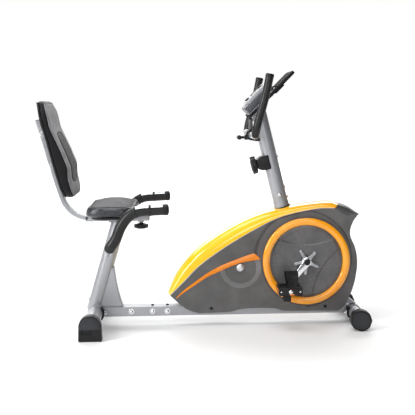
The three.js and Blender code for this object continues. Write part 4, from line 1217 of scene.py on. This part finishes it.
def console_post():
    above_plate = moved(block(0.5, 1.2, -0.1, 0.1, 0.4525, 0.8), CONSOLE)
    post = carved(straight(post_point(0.445), post_point(0.93), TUBE_R, 64), above_plate)
    sleeve = tube([post_point(z) for z in (0.445, 0.46, 0.475, 0.485, 0.4975)], 0.0312, 64)
    seat = moved(block(0.7345, 0.8055, -0.034, 0.034, 0.4475, 0.4546, 0.0025), CONSOLE)
    piece("console_post_tube", merged(post, sleeve, seat), "frame", "silver_paint", ("upright_post",))
    # A thin black ring where the post meets the casing: painted contact shadow.
    contact_shadow_ring = lathe(rounded([(0.0300, -0.006), (0.0352, -0.006), (0.0352, 0.0008), (0.0338, 0.0022),
                            (0.0300, 0.0022)], 0.0012), post_point(0.4745), SKIN_TILT, 64)
    piece("console_post_contact_shadow", contact_shadow_ring, "frame", "rubber")
    front = Vector((math.cos(LEAN), 0, math.sin(LEAN)))
    screws = [(0.510, front), (0.550, front), (0.526, Vector((0, -1, 0))), (0.526, Vector((0, 1, 0)))]
    sunk = TUBE_R - 0.0004
    bolts = [socket_screw(post_point(z) + out * sunk, out, 0.0072) for z, out in screws]
    piece("console_post_bolts", merged(*bolts), "frame", "chrome")
    small = socket_screw(post_point(0.673) + front * sunk, front, 0.0048)
    piece("console_post_screw", small, "frame", "silver_paint")


def lobed(r, lobes, depth, steps=12):
    """The outline of a knob with lobes for the fingers."""
    out = []
    for k in range(lobes * steps):
        turn = 2 * math.pi * k / (lobes * steps)
        reach = r * (1 - depth + depth * math.cos(lobes * turn))
        out.append((reach * math.cos(turn), reach * math.sin(turn)))
    return out


def tension_control():
    place, out = on_post(0.661), (1, 0, 0)
    outline = [(0.006, -0.029), (0.040, -0.028), (0.0575, -0.0185), (0.0575, 0.0185), (0.040, 0.028),
               (0.006, 0.029)]
    post = straight(post_point(0.55), post_point(0.78), TUBE_R + 0.0002, 64)
    housing = carved(moved(prism(outline, -0.0325, 0.0325, 0.0045, 4), place), post)
    neck = lathe(disc_section(0.019, 0.054, 0.0588, 0.0008), axis=out, sides=48)
    seam = block(0.030, 0.0312, -0.0328, 0.0328, -0.0283, 0.0283, 0.0004)
    piece("tension_housing_shell", merged(housing, moved(neck, place), moved(seam, place)), "frame",
          "black_plastic", ("tension_housing",))
    grip = prism(lobed(0.0358, 8, 0.06), 0.0, 0.021, 0.0035, 4, plane="xy")
    to_knob = Matrix(((0, 0, 1, 0.0592), (0, 1, 0, 0), (-1, 0, 0, 0), (0, 0, 0, 1)))
    face = lathe([(0, 0.0795), (0.0225, 0.0795), (0.0225, 0.0812), (0.0205, 0.0818), (0.0185, 0.0806),
                  (0.006, 0.0806), (0, 0.0806)], axis=out, sides=64)
    marker = block(0.0800, 0.0815, -0.0012, 0.0012, 0.0235, 0.0325, 0.0004)
    body = "tension_knob"
    piece("tension_star_knob", moved(grip, place @ to_knob), body, "black_plastic", ("tension_knob",))
    piece("tension_knob_face", moved(face, place), body, "dark_plastic")
    piece("tension_knob_marker", moved(marker, place), body, "silver_paint")


def across_bar(half):
    """The whole of a bar, from the half on the rider's right."""
    return [Vector((p.x, -p.y, p.z)) for p in reversed(half)] + half


def bar_path():
    """The handlebar's right half, from the clamp out, round the bend and up the grip."""
    steps = ((0, -0.060, 0), (0, -0.150, 0), (0, -0.185, 0.002), (0.001, -0.206, 0.012),
             (0.005, -0.215, 0.034), (0.013, -0.215, 0.065), (0.026, -0.215, 0.108), (0.041, -0.215, 0.164),
             (0.054, -0.215, 0.226))
    return [Vector((BAR_AT.x + x, y, BAR_AT.z + z)) for x, y, z in steps]


def handlebar():
    body = "handlebar"
    path = catmull(bar_path(), 120)
    short_of_tip = 117
    piece("handlebar_tube", tube(across_bar(path[:short_of_tip]), 0.0125, 40), body, "steel", ("handlebar",))
    foam = [p for p in path if p.z > BAR_AT.z + 0.003]
    grip = tube(foam, 0.0158, 48, start="dome", edge=0.003)
    cap = lathe([(0, -0.004), (0.0161, -0.004), (0.0163, 0.002), (0.0158, 0.0065), (0.0140, 0.0088),
                 (0.0, 0.0094)], foam[-1], foam[-1] - foam[-2], 48)
    ring = lathe(rounded([(0.0126, -0.004), (0.0150, -0.004), (0.0158, -0.002), (0.0158, 0.003),
                          (0.0126, 0.003), (0.0126, -0.004)], 0.001), foam[0], foam[1] - foam[0], 48)
    on_both_sides(("bar_foam_{}", grip, body, "foam", "bar_grip_{}"),
                  ("bar_end_cap_{}", cap, body, "black_plastic"),
                  ("bar_grip_ring_{}", ring, body, "satin_metal"))


def clamp():
    """The clamp that holds the handlebar to the post, and the T-handle that tightens it."""
    x, z = BAR_AT.x, BAR_AT.z
    barrel = crosswise(BAR_AT, -0.0258, 0.0258, 0.0218, 48, edge=0.002)
    neck = prism([(x - 0.004, z - 0.0215), (x + 0.020, z - 0.0258), (x + 0.042, z - 0.0255),
                  (x + 0.036, z + 0.012), (x, z + 0.0118)], -0.0195, 0.0195, 0.003, 3)
    neck = carved(neck, straight(post_point(0.70), post_point(0.85), TUBE_R + 0.0002, 64))
    boss = straight((x - 0.027, 0, z - 0.010), (x, 0, z - 0.010), 0.0100, 40)
    lug = straight((x - 0.002, 0, z + 0.012), (x - 0.002, 0, z + 0.0625),
                   lambda share: 0.0102 - 0.0018 * share)
    piece("clamp_body", merged(neck, barrel, boss), "frame", "black_plastic", ("handlebar_clamp",))
    piece("clamp_lug", lug, "frame", "grey_shell")
    bushes = [crosswise(BAR_AT, y - 0.0012, y + 0.0012, 0.0165, 40) for y in (-0.0262, 0.0262)]
    piece("clamp_bushes", merged(*bushes), "frame", "dark_plastic")
    rod = tube([(x - reach, 0, z - 0.010) for reach in (0.046, 0.038, 0.0278)], 0.0052, 24)
    bar = tube([Vector((x - 0.048, -0.027 + 0.054 * k / 24, z - 0.010)) for k in range(25)],
               lambda share: 0.0062 + 0.0026 * abs(2 * share - 1) ** 1.5, start="dome", end="dome")
    piece("clamp_t_handle", merged(rod, bar), "clamp_knob", "black_plastic", ("clamp_knob",))


# ---- console ---------------------------------------------------------------------------------
def slab(x0, x1, half, r, low, high, bevel=0.0, steps=3, arc=8):
    """A flat block with round corners, square to the console's face."""
    return prism(round_rect(x0, x1, -half, half, r, arc), low, high, bevel, steps, plane="xy")


def reading_rack():
    plate = slab(0.729, 0.974, 0.112, 0.018, 0.4552, 0.4672, 0.0028)
    slots = [block(0.900 + 0.016 * k, 0.907 + 0.016 * k, -0.075, 0.075, 0.4662, 0.49, 0.0015)
             for k in range(4)]
    rib = slab(0.869, 0.915, 0.060, 0.004, 0.4472, 0.4570, 0.0018, 2)
    lip = block(0.8860, 0.8890, -0.0980, 0.0980, 0.4660, 0.4712, 0.0012)
    return merged(carved(plate, *slots), rib, lip)


def console():
    def add(name, mesh, material, *nodes, body="frame"):
        piece(name, moved(mesh, CONSOLE), body, material, nodes)

    keys_at = (-0.038, 0, 0.038)
    add("reading_rack_panel", reading_rack(), "rack_black", "reading_rack")
    add("console_seam", slab(0.7338, 0.8792, 0.1052, 0.030, 0.4670, 0.4698, 0.0006, 1), "silver_paint")
    lower = slab(0.7352, 0.878, 0.104, 0.030, 0.4698, 0.4975, 0.0050, 4, 12)
    raised = slab(0.757, 0.868, 0.084, 0.020, 0.4900, 0.5098, 0.0038, 4, 12)
    well = slab(0.7955, 0.8565, 0.0595, 0.004, 0.5062, 0.52)
    pockets = [straight((0.775, y, 0.5015), (0.775, y, 0.53), 0.0094, 40) for y in keys_at]
    add("console_lower_shell", lower, "console_blue", "console_body")
    add("console_face", carved(raised, well, *pockets), "console_silver")
    bezel = carved(slab(0.7935, 0.8585, 0.0615, 0.006, 0.5075, 0.5106, 0.0008, 2),
                   slab(0.7995, 0.8525, 0.0555, 0.003, 0.50, 0.52))
    add("console_bezel", bezel, "black_plastic")
    glass = slab(0.797, 0.855, 0.058, 0.003, 0.5064, 0.5092, 0.0004, 1)
    add("console_display", glass, "screen", "console_screen")
    cap = [(0, 0.5042), (0.0088, 0.5042), (0.0090, 0.5118), (0.0082, 0.5128), (0.0060, 0.5126),
           (0.003, 0.5121), (0, 0.5120)]
    for i, y in enumerate(keys_at, 1):
        key = f"console_button_{i}"
        add(f"console_key_{i}", lathe(cap, (0.775, y, 0), (0, 0, 1), 48), "rubber", key, body=key)
    screws = [socket_screw((x, y, 0.4552), (0, 0, -1), 0.0042) for x in (0.745, 0.85) for y in (-0.09, 0.09)]
    add("console_back_screws", merged(*screws), "steel")


# ---- seat ------------------------------------------------------------------------------------
RAIL_TOP = 0.451
SEAT_BACK, SEAT_FRONT, SEAT_HALF = -0.461, -0.254, 0.200
SEAT_STEP = 0.4985
CROWN_INSET = 0.0250


def puff(mesh, voxel, pressure, cap):
    """Fills a closed shape by cloth simulation, each point moving no further than cap."""
    frames = 20
    obj = temporary(mesh)
    remesh = obj.modifiers.new("remesh", "REMESH")
    remesh.mode = "VOXEL"
    remesh.voxel_size = voxel
    start = after_modifiers(obj)
    bpy.data.objects.remove(obj)
    obj = temporary(start)
    cloth = obj.modifiers.new("cloth", "CLOTH")
    cloth.settings.use_pressure = True
    cloth.settings.uniform_pressure_force = pressure
    cloth.settings.effector_weights.gravity = 0
    cloth.settings.tension_stiffness = 12
    cloth.settings.compression_stiffness = 12
    cloth.settings.bending_stiffness = 1.5
    cloth.point_cache.frame_start = 1
    cloth.point_cache.frame_end = frames
    scene = bpy.context.scene
    for frame_number in range(1, frames + 1):
        scene.frame_set(frame_number)
    filled = after_modifiers(obj)
    for before, after in zip(start.vertices, filled.vertices):
        shift = after.co - before.co
        if shift.length > cap:
            after.co = before.co + shift.normalized() * cap
    bpy.data.objects.remove(obj)
    scene.frame_set(1)
    smooth = with_modifier(filled, "SMOOTH", iterations=2, factor=0.5)
    return with_modifier(smooth, "SUBSURF", levels=1, render_levels=1)


def finish_pad(name, mesh, node, materials, choose):
    """Places a filled pad on the seat's body, with a material chosen face by face."""
    obj = piece(name, mesh, "seat", materials[0], (node,), 60)
    for material in materials[1:]:
        mesh.materials.append(MAT[material])
    for face in mesh.polygons:
        face.material_index = choose(face.center, face.normal)


def skin_path(mesh, rays):
    """Where rays meet a mesh, as a smoothed closed path."""
    work = bmesh.new()
    work.from_mesh(mesh)
    bmesh.ops.triangulate(work, faces=work.faces)
    tree = BVHTree.FromBMesh(work)
    work.free()
    hits = [tree.ray_cast(Vector(origin), Vector(direction))[0] for origin, direction in rays]
    found = [hit for hit in hits if hit is not None]
    for _ in range(3):
        found = [(found[i - 1] + found[i] * 2 + found[(i + 1) % len(found)]) / 4 for i in range(len(found))]
    return found


def groove(mesh, path, width, depth):
    """Draws a seam in where the path runs: the skin is pulled in beside it."""
    tree = KDTree(len(path))
    for i, p in enumerate(path):
        tree.insert(p, i)
    tree.balance()
    normals = [v.normal.copy() for v in mesh.vertices]
    for v, normal in zip(mesh.vertices, normals):
        distance = tree.find(v.co)[2]
        if distance < width:
            v.co -= normal * depth * (1 - smooth_step(distance, 0, width))


def ring_tube(path, radius, sides=10):
    """A closed cord round a path, for piping."""
    count = len(path)
    steady = Vector((0.03, 0.02, 1))
    verts = []
    for i, p in enumerate(path):
        tangent = (path[(i + 1) % count] - path[i - 1]).normalized()
        side = tangent.cross(steady).normalized()
        verts += circle(p, side, tangent.cross(side), radius, sides)
    return mesh_from(verts, ring_faces(count, sides, closed=True))


def seat_outline(inset, r, arc):
    """A rounded rectangle inside the seat's outline."""
    return round_rect(SEAT_BACK + inset, SEAT_FRONT - inset, -SEAT_HALF + inset, SEAT_HALF - inset, r, arc)


def seat_pad():
    """A padded seat: a dark side band, and a lighter crown set in from its edge."""
    height_inset = ((0.4622, 0.016), (0.4630, 0.008), (0.4660, 0.0045), (0.474, 0.004), (0.486, 0.0065),
                    (0.4945, 0.0105), (0.4980, 0.0155), (0.4985, 0.0215), (0.4985, 0.0245),
                    (0.5000, 0.0265), (0.5022, 0.032), (0.5040, 0.042), (0.5062, 0.060), (0.5078, 0.080),
                    (0.5082, 0.090))
    loops = []
    for z, inset in height_inset:
        outline = seat_outline(inset, max(0.060 - inset * 0.55, 0.012), 14)
        loops.append([Vector((x, y, z)) for x, y in outline])
    pad = puff(loops_mesh(loops), 0.0045, 4.0, 0.004)
    middle, lowest, highest = (SEAT_BACK + SEAT_FRONT) / 2, 0.4613, 0.5150
    for v in pad.vertices:
        crown = smooth_step(v.co.z, 0.499, 0.505)
        sag = 0.0080 * (abs(v.co.y) / 0.175) ** 2 + 0.0065 * (abs(v.co.x - middle) / 0.08) ** 3
        v.co.z = max(lowest, min(v.co.z + crown * (0.0040 - sag), highest))
    outline = seat_outline(CROWN_INSET, 0.0465, 20)
    loop = even([Vector((x, y, 0)) for x, y in outline + outline[:1]], 240)[:-1]
    path = skin_path(pad, [((p.x, p.y, 0.53), (0, 0, -1)) for p in loop])
    groove(pad, path, 0.0052, 0.0016)
    # The crown takes the darker grey copy of the vinyl, painted shade; the band takes the lighter black copy,
    # painted highlight.
    finish_pad("seat_pad", pad, "seat_cushion", ("vinyl_seat_shaded", "vinyl_band_lit"),
               lambda centre, normal: 0 if centre.z > SEAT_STEP + 0.0002 else 1)
    piece("seat_piping", ring_tube(path, 0.0016), "seat", "vinyl_back")


def seat_pan():
    pan = prism(seat_outline(0.026, 0.049, 10), 0.4514, 0.4606, 0.0025, 3, plane="xy")
    piece("seat_pan", pan, "seat", "black_plastic", ("seat_base",))


# ---- backrest --------------------------------------------------------------------------------
BACK_BAR = points((-460, 440), (-492, 449), (-520, 464), (-545, 490), (-560, 520), (-592, 622),
                  (-620, 732), (-649, 835))
BACK_REAR = ((0.530, -0.529), (0.571, -0.550), (0.658, -0.574), (0.754, -0.598), (0.850, -0.623),
             (0.914, -0.631))
BACK_FRONT = ((0.530, -0.501), (0.545, -0.497), (0.609, -0.512), (0.653, -0.513), (0.715, -0.537),
              (0.807, -0.578), (0.873, -0.592), (0.909, -0.602), (0.914, -0.606))
BACK_HALF, BACK_CORNER, BACK_DISH = 0.155, 0.070, 0.015
BACK_LOW, BACK_HIGH = 0.530, 0.914
BACK_BOLTS_AT = (0.650, 0.780)
PAD_INSET = 0.010
INSERT_HALF, INSERT_MIDDLE, INSERT_TALL = 0.084, 0.690, 0.098
ROUND = 4


def table_at(table, z):
    z = max(table[0][0], min(z, table[-1][0]))
    for (z0, x0), (z1, x1) in zip(table, table[1:]):
        if z <= z1:
            return x0 + (x1 - x0) * (z - z0) / (z1 - z0)
    return table[-1][1]


def board_rear(z, y):
    return table_at(BACK_REAR, z) + BACK_DISH * ((y / BACK_HALF) ** 2 - 1)


def back_rear(z, y):
    """The board's front face, which the pad lies on."""
    return board_rear(z, y) + 0.007


def flat_bar():
    """The flat bar that carries the backrest, up from the rail."""
    path = even(catmull([Vector((x, 0, z)) for x, z in BACK_BAR], 200), 80)
    section = round_rect(-0.0085, 0.0085, -0.025, 0.025, 0.003, 4)
    rows = []
    for i, p in enumerate(path):
        tangent = heading(path, i)
        normal = Vector((-tangent.z, 0, tangent.x))
        rows.append([p + normal * u + Vector((0, w, 0)) for u, w in section])
    return loops_mesh(rows)


def bar_plug():
    """The plastic plug in the flat bar's upper end."""
    below, end = [Vector((x, 0, z)) for x, z in BACK_BAR[-2:]]
    tangent = (end - below).normalized()
    normal = Vector((-tangent.z, 0, tangent.x))
    rows = []
    for shift, grow in ((-0.0005, 0.0), (0.0008, 0.0004), (0.0022, 0.0)):
        section = round_rect(-0.0084 - grow, 0.0084 + grow, -0.0249 - grow, 0.0249 + grow, 0.003, 4)
        rows.append([end + tangent * shift + normal * u + Vector((0, w, 0)) for u, w in section])
    return loops_mesh(rows)


def seat_rail():
    channel = block(-0.470, -0.2142, -0.025, 0.025, 0.428, RAIL_TOP, 0.0022)
    inside = block(-0.462, -0.262, -0.021, 0.021, 0.42, 0.447)
    brackets, bolts = [], []
    for z in BACK_BOLTS_AT:
        face = board_rear(z, 0) - 0.004
        brackets.append(block(face - 0.010, face + 0.0036, -0.040, 0.040, z - 0.014, z + 0.014, 0.0018, 2))
        bolts += [cap_nut((face - 0.010, y, z), (-1, 0, 0), 0.006) for y in (-0.031, 0.031)]
    rail = merged(carved(channel, inside), flat_bar(), *brackets)
    piece("seat_rail_channel", rail, "seat", "silver_paint", ("seat_rail",))
    plug = block(-0.2150, -0.2128, -0.0242, 0.0242, 0.4288, 0.4502, 0.0009, 2)
    piece("seat_rail_plug", plug, "seat", "black_plastic")
    piece("back_bar_plug", bar_plug(), "seat", "black_plastic")
    piece("back_pad_bolts", merged(*bolts), "seat", "chrome")


def back_half(z, inset=0.0):
    """Half width of the backrest at a height."""
    end = max(0.0, min(z - BACK_LOW, BACK_HIGH - z, BACK_CORNER))
    return BACK_HALF - inset - BACK_CORNER + math.sqrt(BACK_CORNER ** 2 - (BACK_CORNER - end) ** 2)


def panel(rear, front, low, high, inset):
    """A closed dished panel, given its rear and front faces; its rows crowd together at the ends."""
    rows, columns = 64, 24
    loops = []
    for i in range(rows + 1):
        z = low + (high - low) * (0.5 - 0.5 * math.cos(math.pi * i / rows))
        half = back_half(z, inset)
        places = [half * (-1 + 2 * k / columns) for k in range(columns + 1)]
        loops.append([Vector((rear(z, y), y, z)) for y in places]
                     + [Vector((front(z, y), y, z)) for y in reversed(places)])
    return loops_mesh(loops)


def insert_mask(z, y, soft):
    """1 on the raised insert in the middle of the backrest, 0 beyond its seam."""
    u, v = abs(y) / INSERT_HALF, abs(z - INSERT_MIDDLE) / INSERT_TALL
    edge = (u ** ROUND + v ** ROUND) ** (1 / ROUND)
    return 1 - smooth_step(edge, 1 - soft / INSERT_TALL, 1 + soft * 0.4 / INSERT_TALL)


def insert_rays():
    """Rays forward from the board to the insert's seam."""
    rays = []
    for k in range(200):
        turn = 2 * math.pi * k / 200
        c, s = math.cos(turn), math.sin(turn)
        reach = 1 / (c ** ROUND + s ** ROUND) ** (1 / ROUND)
        y, z = INSERT_HALF * c * reach, INSERT_MIDDLE + INSERT_TALL * s * reach
        rays.append(((back_rear(z, y) + 0.004, y, z), (1, 0, 0)))
    return rays


def past_edge(point):
    """How far a point lies beyond the backrest's outline, seen from the front; below 0 inside."""
    middle, half_z = (BACK_LOW + BACK_HIGH) / 2, (BACK_HIGH - BACK_LOW) / 2
    u = abs(point.y) - (BACK_HALF - BACK_CORNER)
    v = abs(point.z - middle) - (half_z - BACK_CORNER)
    return math.hypot(max(u, 0), max(v, 0)) + min(max(u, v), 0) - BACK_CORNER


def back_board():
    board = panel(board_rear, lambda z, y: back_rear(z, y) - 0.0004, 0.534, 0.906, 0.008)
    round_edges(board, 0.0018, 2, 50)
    piece("back_board", board, "seat", "black_plastic", ("backrest_board",), 40)


def pad_front(z, y):
    """The pad's front before it is filled: hollowed, round at its edges, with a raised insert."""
    half = back_half(z)
    round_off = 0.009 * smooth_step(abs(y), half - 0.024, half)
    face = max(table_at(BACK_FRONT, z), table_at(BACK_REAR, z) + 0.021)
    return face + 0.002 - round_off - 0.005 * (1 - (y / BACK_HALF) ** 4) + 0.004 * insert_mask(z, y, 0.03)


def backrest():
    back_board()
    empty = panel(lambda z, y: back_rear(z, y) + 0.0012, pad_front, 0.532, 0.9135, 0.003)
    pad = puff(empty, 0.005, 4.0, 0.003)
    slack = 0.0005
    for v in pad.vertices:
        v.co.y = max(-BACK_HALF - slack, min(v.co.y, BACK_HALF + slack))
        v.co.z = max(BACK_LOW + 0.0002, min(v.co.z, BACK_HIGH + slack))
        v.co.x = max(v.co.x, back_rear(v.co.z, v.co.y) + 0.0003)
    outline = round_rect(-BACK_HALF + PAD_INSET, BACK_HALF - PAD_INSET, BACK_LOW + PAD_INSET,
                         BACK_HIGH - PAD_INSET, BACK_CORNER - PAD_INSET, 24)
    loop = even([Vector((0, y, z)) for y, z in outline + outline[:1]], 320)[:-1]
    welt = skin_path(pad, [((back_rear(p.z, p.y) + 0.003, p.y, p.z), (1, 0, 0)) for p in loop])
    groove(pad, welt, 0.006, 0.0014)
    inner = skin_path(pad, insert_rays())
    groove(pad, inner, 0.008, 0.0028)

    def choose(centre, normal):
        if past_edge(centre) > -PAD_INSET or normal.x < 0:
            return 1
        return 2 if insert_mask(centre.z, centre.y, 0.001) > 0.5 and normal.x > 0.2 else 0

    finish_pad("back_pad", pad, "backrest_cushion", ("vinyl", "vinyl_back", "vinyl_dark"), choose)
    piece("back_piping", ring_tube(welt, 0.0019), "seat", "vinyl_piping")
    piece("back_insert_piping", ring_tube(inner, 0.0011, 8), "seat", "vinyl_back")


# ---- seat knob, seat post and side handles ---------------------------------------------------
def seat_knob():
    at, up = Vector(JOINTS["seat_knob_turn"]["pos_m"]), (0, 0, 1)
    at.z = 0
    stem = straight((at.x, 0, 0.413), (at.x, 0, 0.4272), 0.0078)
    outline = [(at.x + x, y) for x, y in lobed(0.0288, 6, 0.055, 16)]
    disc = prism(outline, 0.3965, 0.4125, 0.0042, 4, plane="xy")
    crown = lathe([(0, 0.3932), (0.012, 0.3936), (0.020, 0.3952), (0.0235, 0.3978), (0, 0.3990)], at, up, 48)
    neck = lathe([(0, 0.411), (0.016, 0.411), (0.0135, 0.4150), (0.0078, 0.4172), (0, 0.4172)], at, up, 40)
    knob = merged(stem, disc, crown, neck)
    piece("seat_adjust_knob", knob, "seat_knob", "black_plastic", ("seat_knob",))
    collar = lathe(ring_section(0.006, 0.0125, 0.421, 0.4272, 0.0008), at, up, 40)
    piece("seat_knob_collar", collar, "seat", "steel")


def seat_post():
    above_head = block(-0.5, -0.2, -0.1, 0.1, 0.4272, 0.6)
    post = carved(straight(seat_post_point(0.062), seat_post_point(0.447), TUBE_R, 64), above_head)
    head = block(-0.375, -0.308, -0.0178, 0.0178, 0.424, 0.4458, 0.0015)
    plate = block(-0.3745, -0.3005, -0.0235, 0.0235, 0.4236, 0.4276, 0.0012)
    piece("seat_post_tube", merged(post, head, plate), "frame", "silver_paint", ("seat_post",))
    lean = math.atan(SEAT_SLOPE)
    rear = Vector((-math.cos(lean), 0, math.sin(lean)))
    screw = socket_screw(seat_post_point(0.098) + rear * (TUBE_R - 0.0006), rear, 0.004)
    piece("seat_post_screw", screw, "frame", "black_plastic")


def side_path():
    """The side handle bar's right half, from the seat post out, up and forward along the grip."""
    x0 = seat_post_point(0.330).x
    return [Vector(p) for p in ((x0, -0.050, 0.330), (x0, -0.210, 0.330), (x0 + 0.002, -0.250, 0.336),
                                (x0 + 0.012, -0.270, 0.358), (-0.331, -0.270, 0.392), (-0.313, -0.270, 0.434),
                                (-0.291, -0.270, 0.466), (-0.266, -0.270, 0.486), (-0.237, -0.270, 0.495),
                                (-0.190, -0.270, 0.498), (-0.138, -0.270, 0.500))]


def over_grip(path, radius, spread, thick):
    """A curved plate that lies on top of a grip, along a stretch of its centre line."""
    count = 20
    turns = [math.radians(-spread + 2 * spread * k / count) for k in range(count + 1)]
    rows = []
    for i, p in enumerate(path):
        tangent = heading(path, i)
        up, aside = Vector((-tangent.z, 0, tangent.x)).normalized(), Vector((0, 1, 0))
        over = [up * math.cos(turn) + aside * math.sin(turn) for turn in turns]
        rows.append([p + out * (radius + thick) for out in over] + [p + out * radius for out in over[::-1]])
    mesh = loops_mesh(rows)
    round_edges(mesh, 0.0005, 1, 50)
    return mesh


def side_handles():
    path = catmull(side_path(), 220)
    bar = tube(across_bar(path), 0.0125, 40)
    piece("side_handle_tube", bar, "frame", "silver_paint", ("side_handle_bar",))
    foam = path[next(i for i, p in enumerate(path) if p.z > 0.345):]
    grip = tube(foam, 0.0205, 56, start="dome", edge=0.002)
    cap_r, cap_depth = 0.0212, 0.0088
    turns = [math.radians(a) for a in range(9, 90, 9)]
    dome = [(cap_r * math.cos(turn) ** 0.8, cap_depth * math.sin(turn)) for turn in turns]
    skirt = [(0, -0.0125), (0.0208, -0.0125), (cap_r, -0.0095), (cap_r, 0.0)]
    end_cap = lathe(skirt + dome + [(0, cap_depth)], foam[-1], foam[-1] - foam[-2], 56)
    level = [p for p in path if p.y < -0.2695 and p.z > 0.46]
    plates = [over_grip(even([p for p in level if x0 <= p.x <= x1], 16), 0.0202, 55, 0.0011)
              for x0, x1 in ((-0.2525, -0.2045), (-0.1985, -0.1525))]
    dividers = []
    for x in (-0.2555, -0.2015):
        i = min(range(len(path)), key=lambda k: abs(path[k].x - x) if path[k].z > 0.46 else 1)
        dividers.append(lathe(ring_section(0.019, 0.0216, -0.0026, 0.0026, 0.0008), path[i],
                              path[i + 1] - path[i - 1], 56))
    on_both_sides(("side_foam_{}", grip, "frame", "foam", "side_grip_{}"),
                  ("side_grip_cap_{}", end_cap, "frame", "black_plastic"),
                  ("pulse_plates_{}", merged(*plates), "frame", "satin_metal"),
                  ("pulse_dividers_{}", merged(*dividers), "frame", "black_plastic"))


for build in (floor_frame, casing, cranks, pedals, console_post, tension_control, handlebar, clamp, console,
              seat_pad, seat_pan, seat_rail, backrest, seat_knob, seat_post, side_handles):
    build()
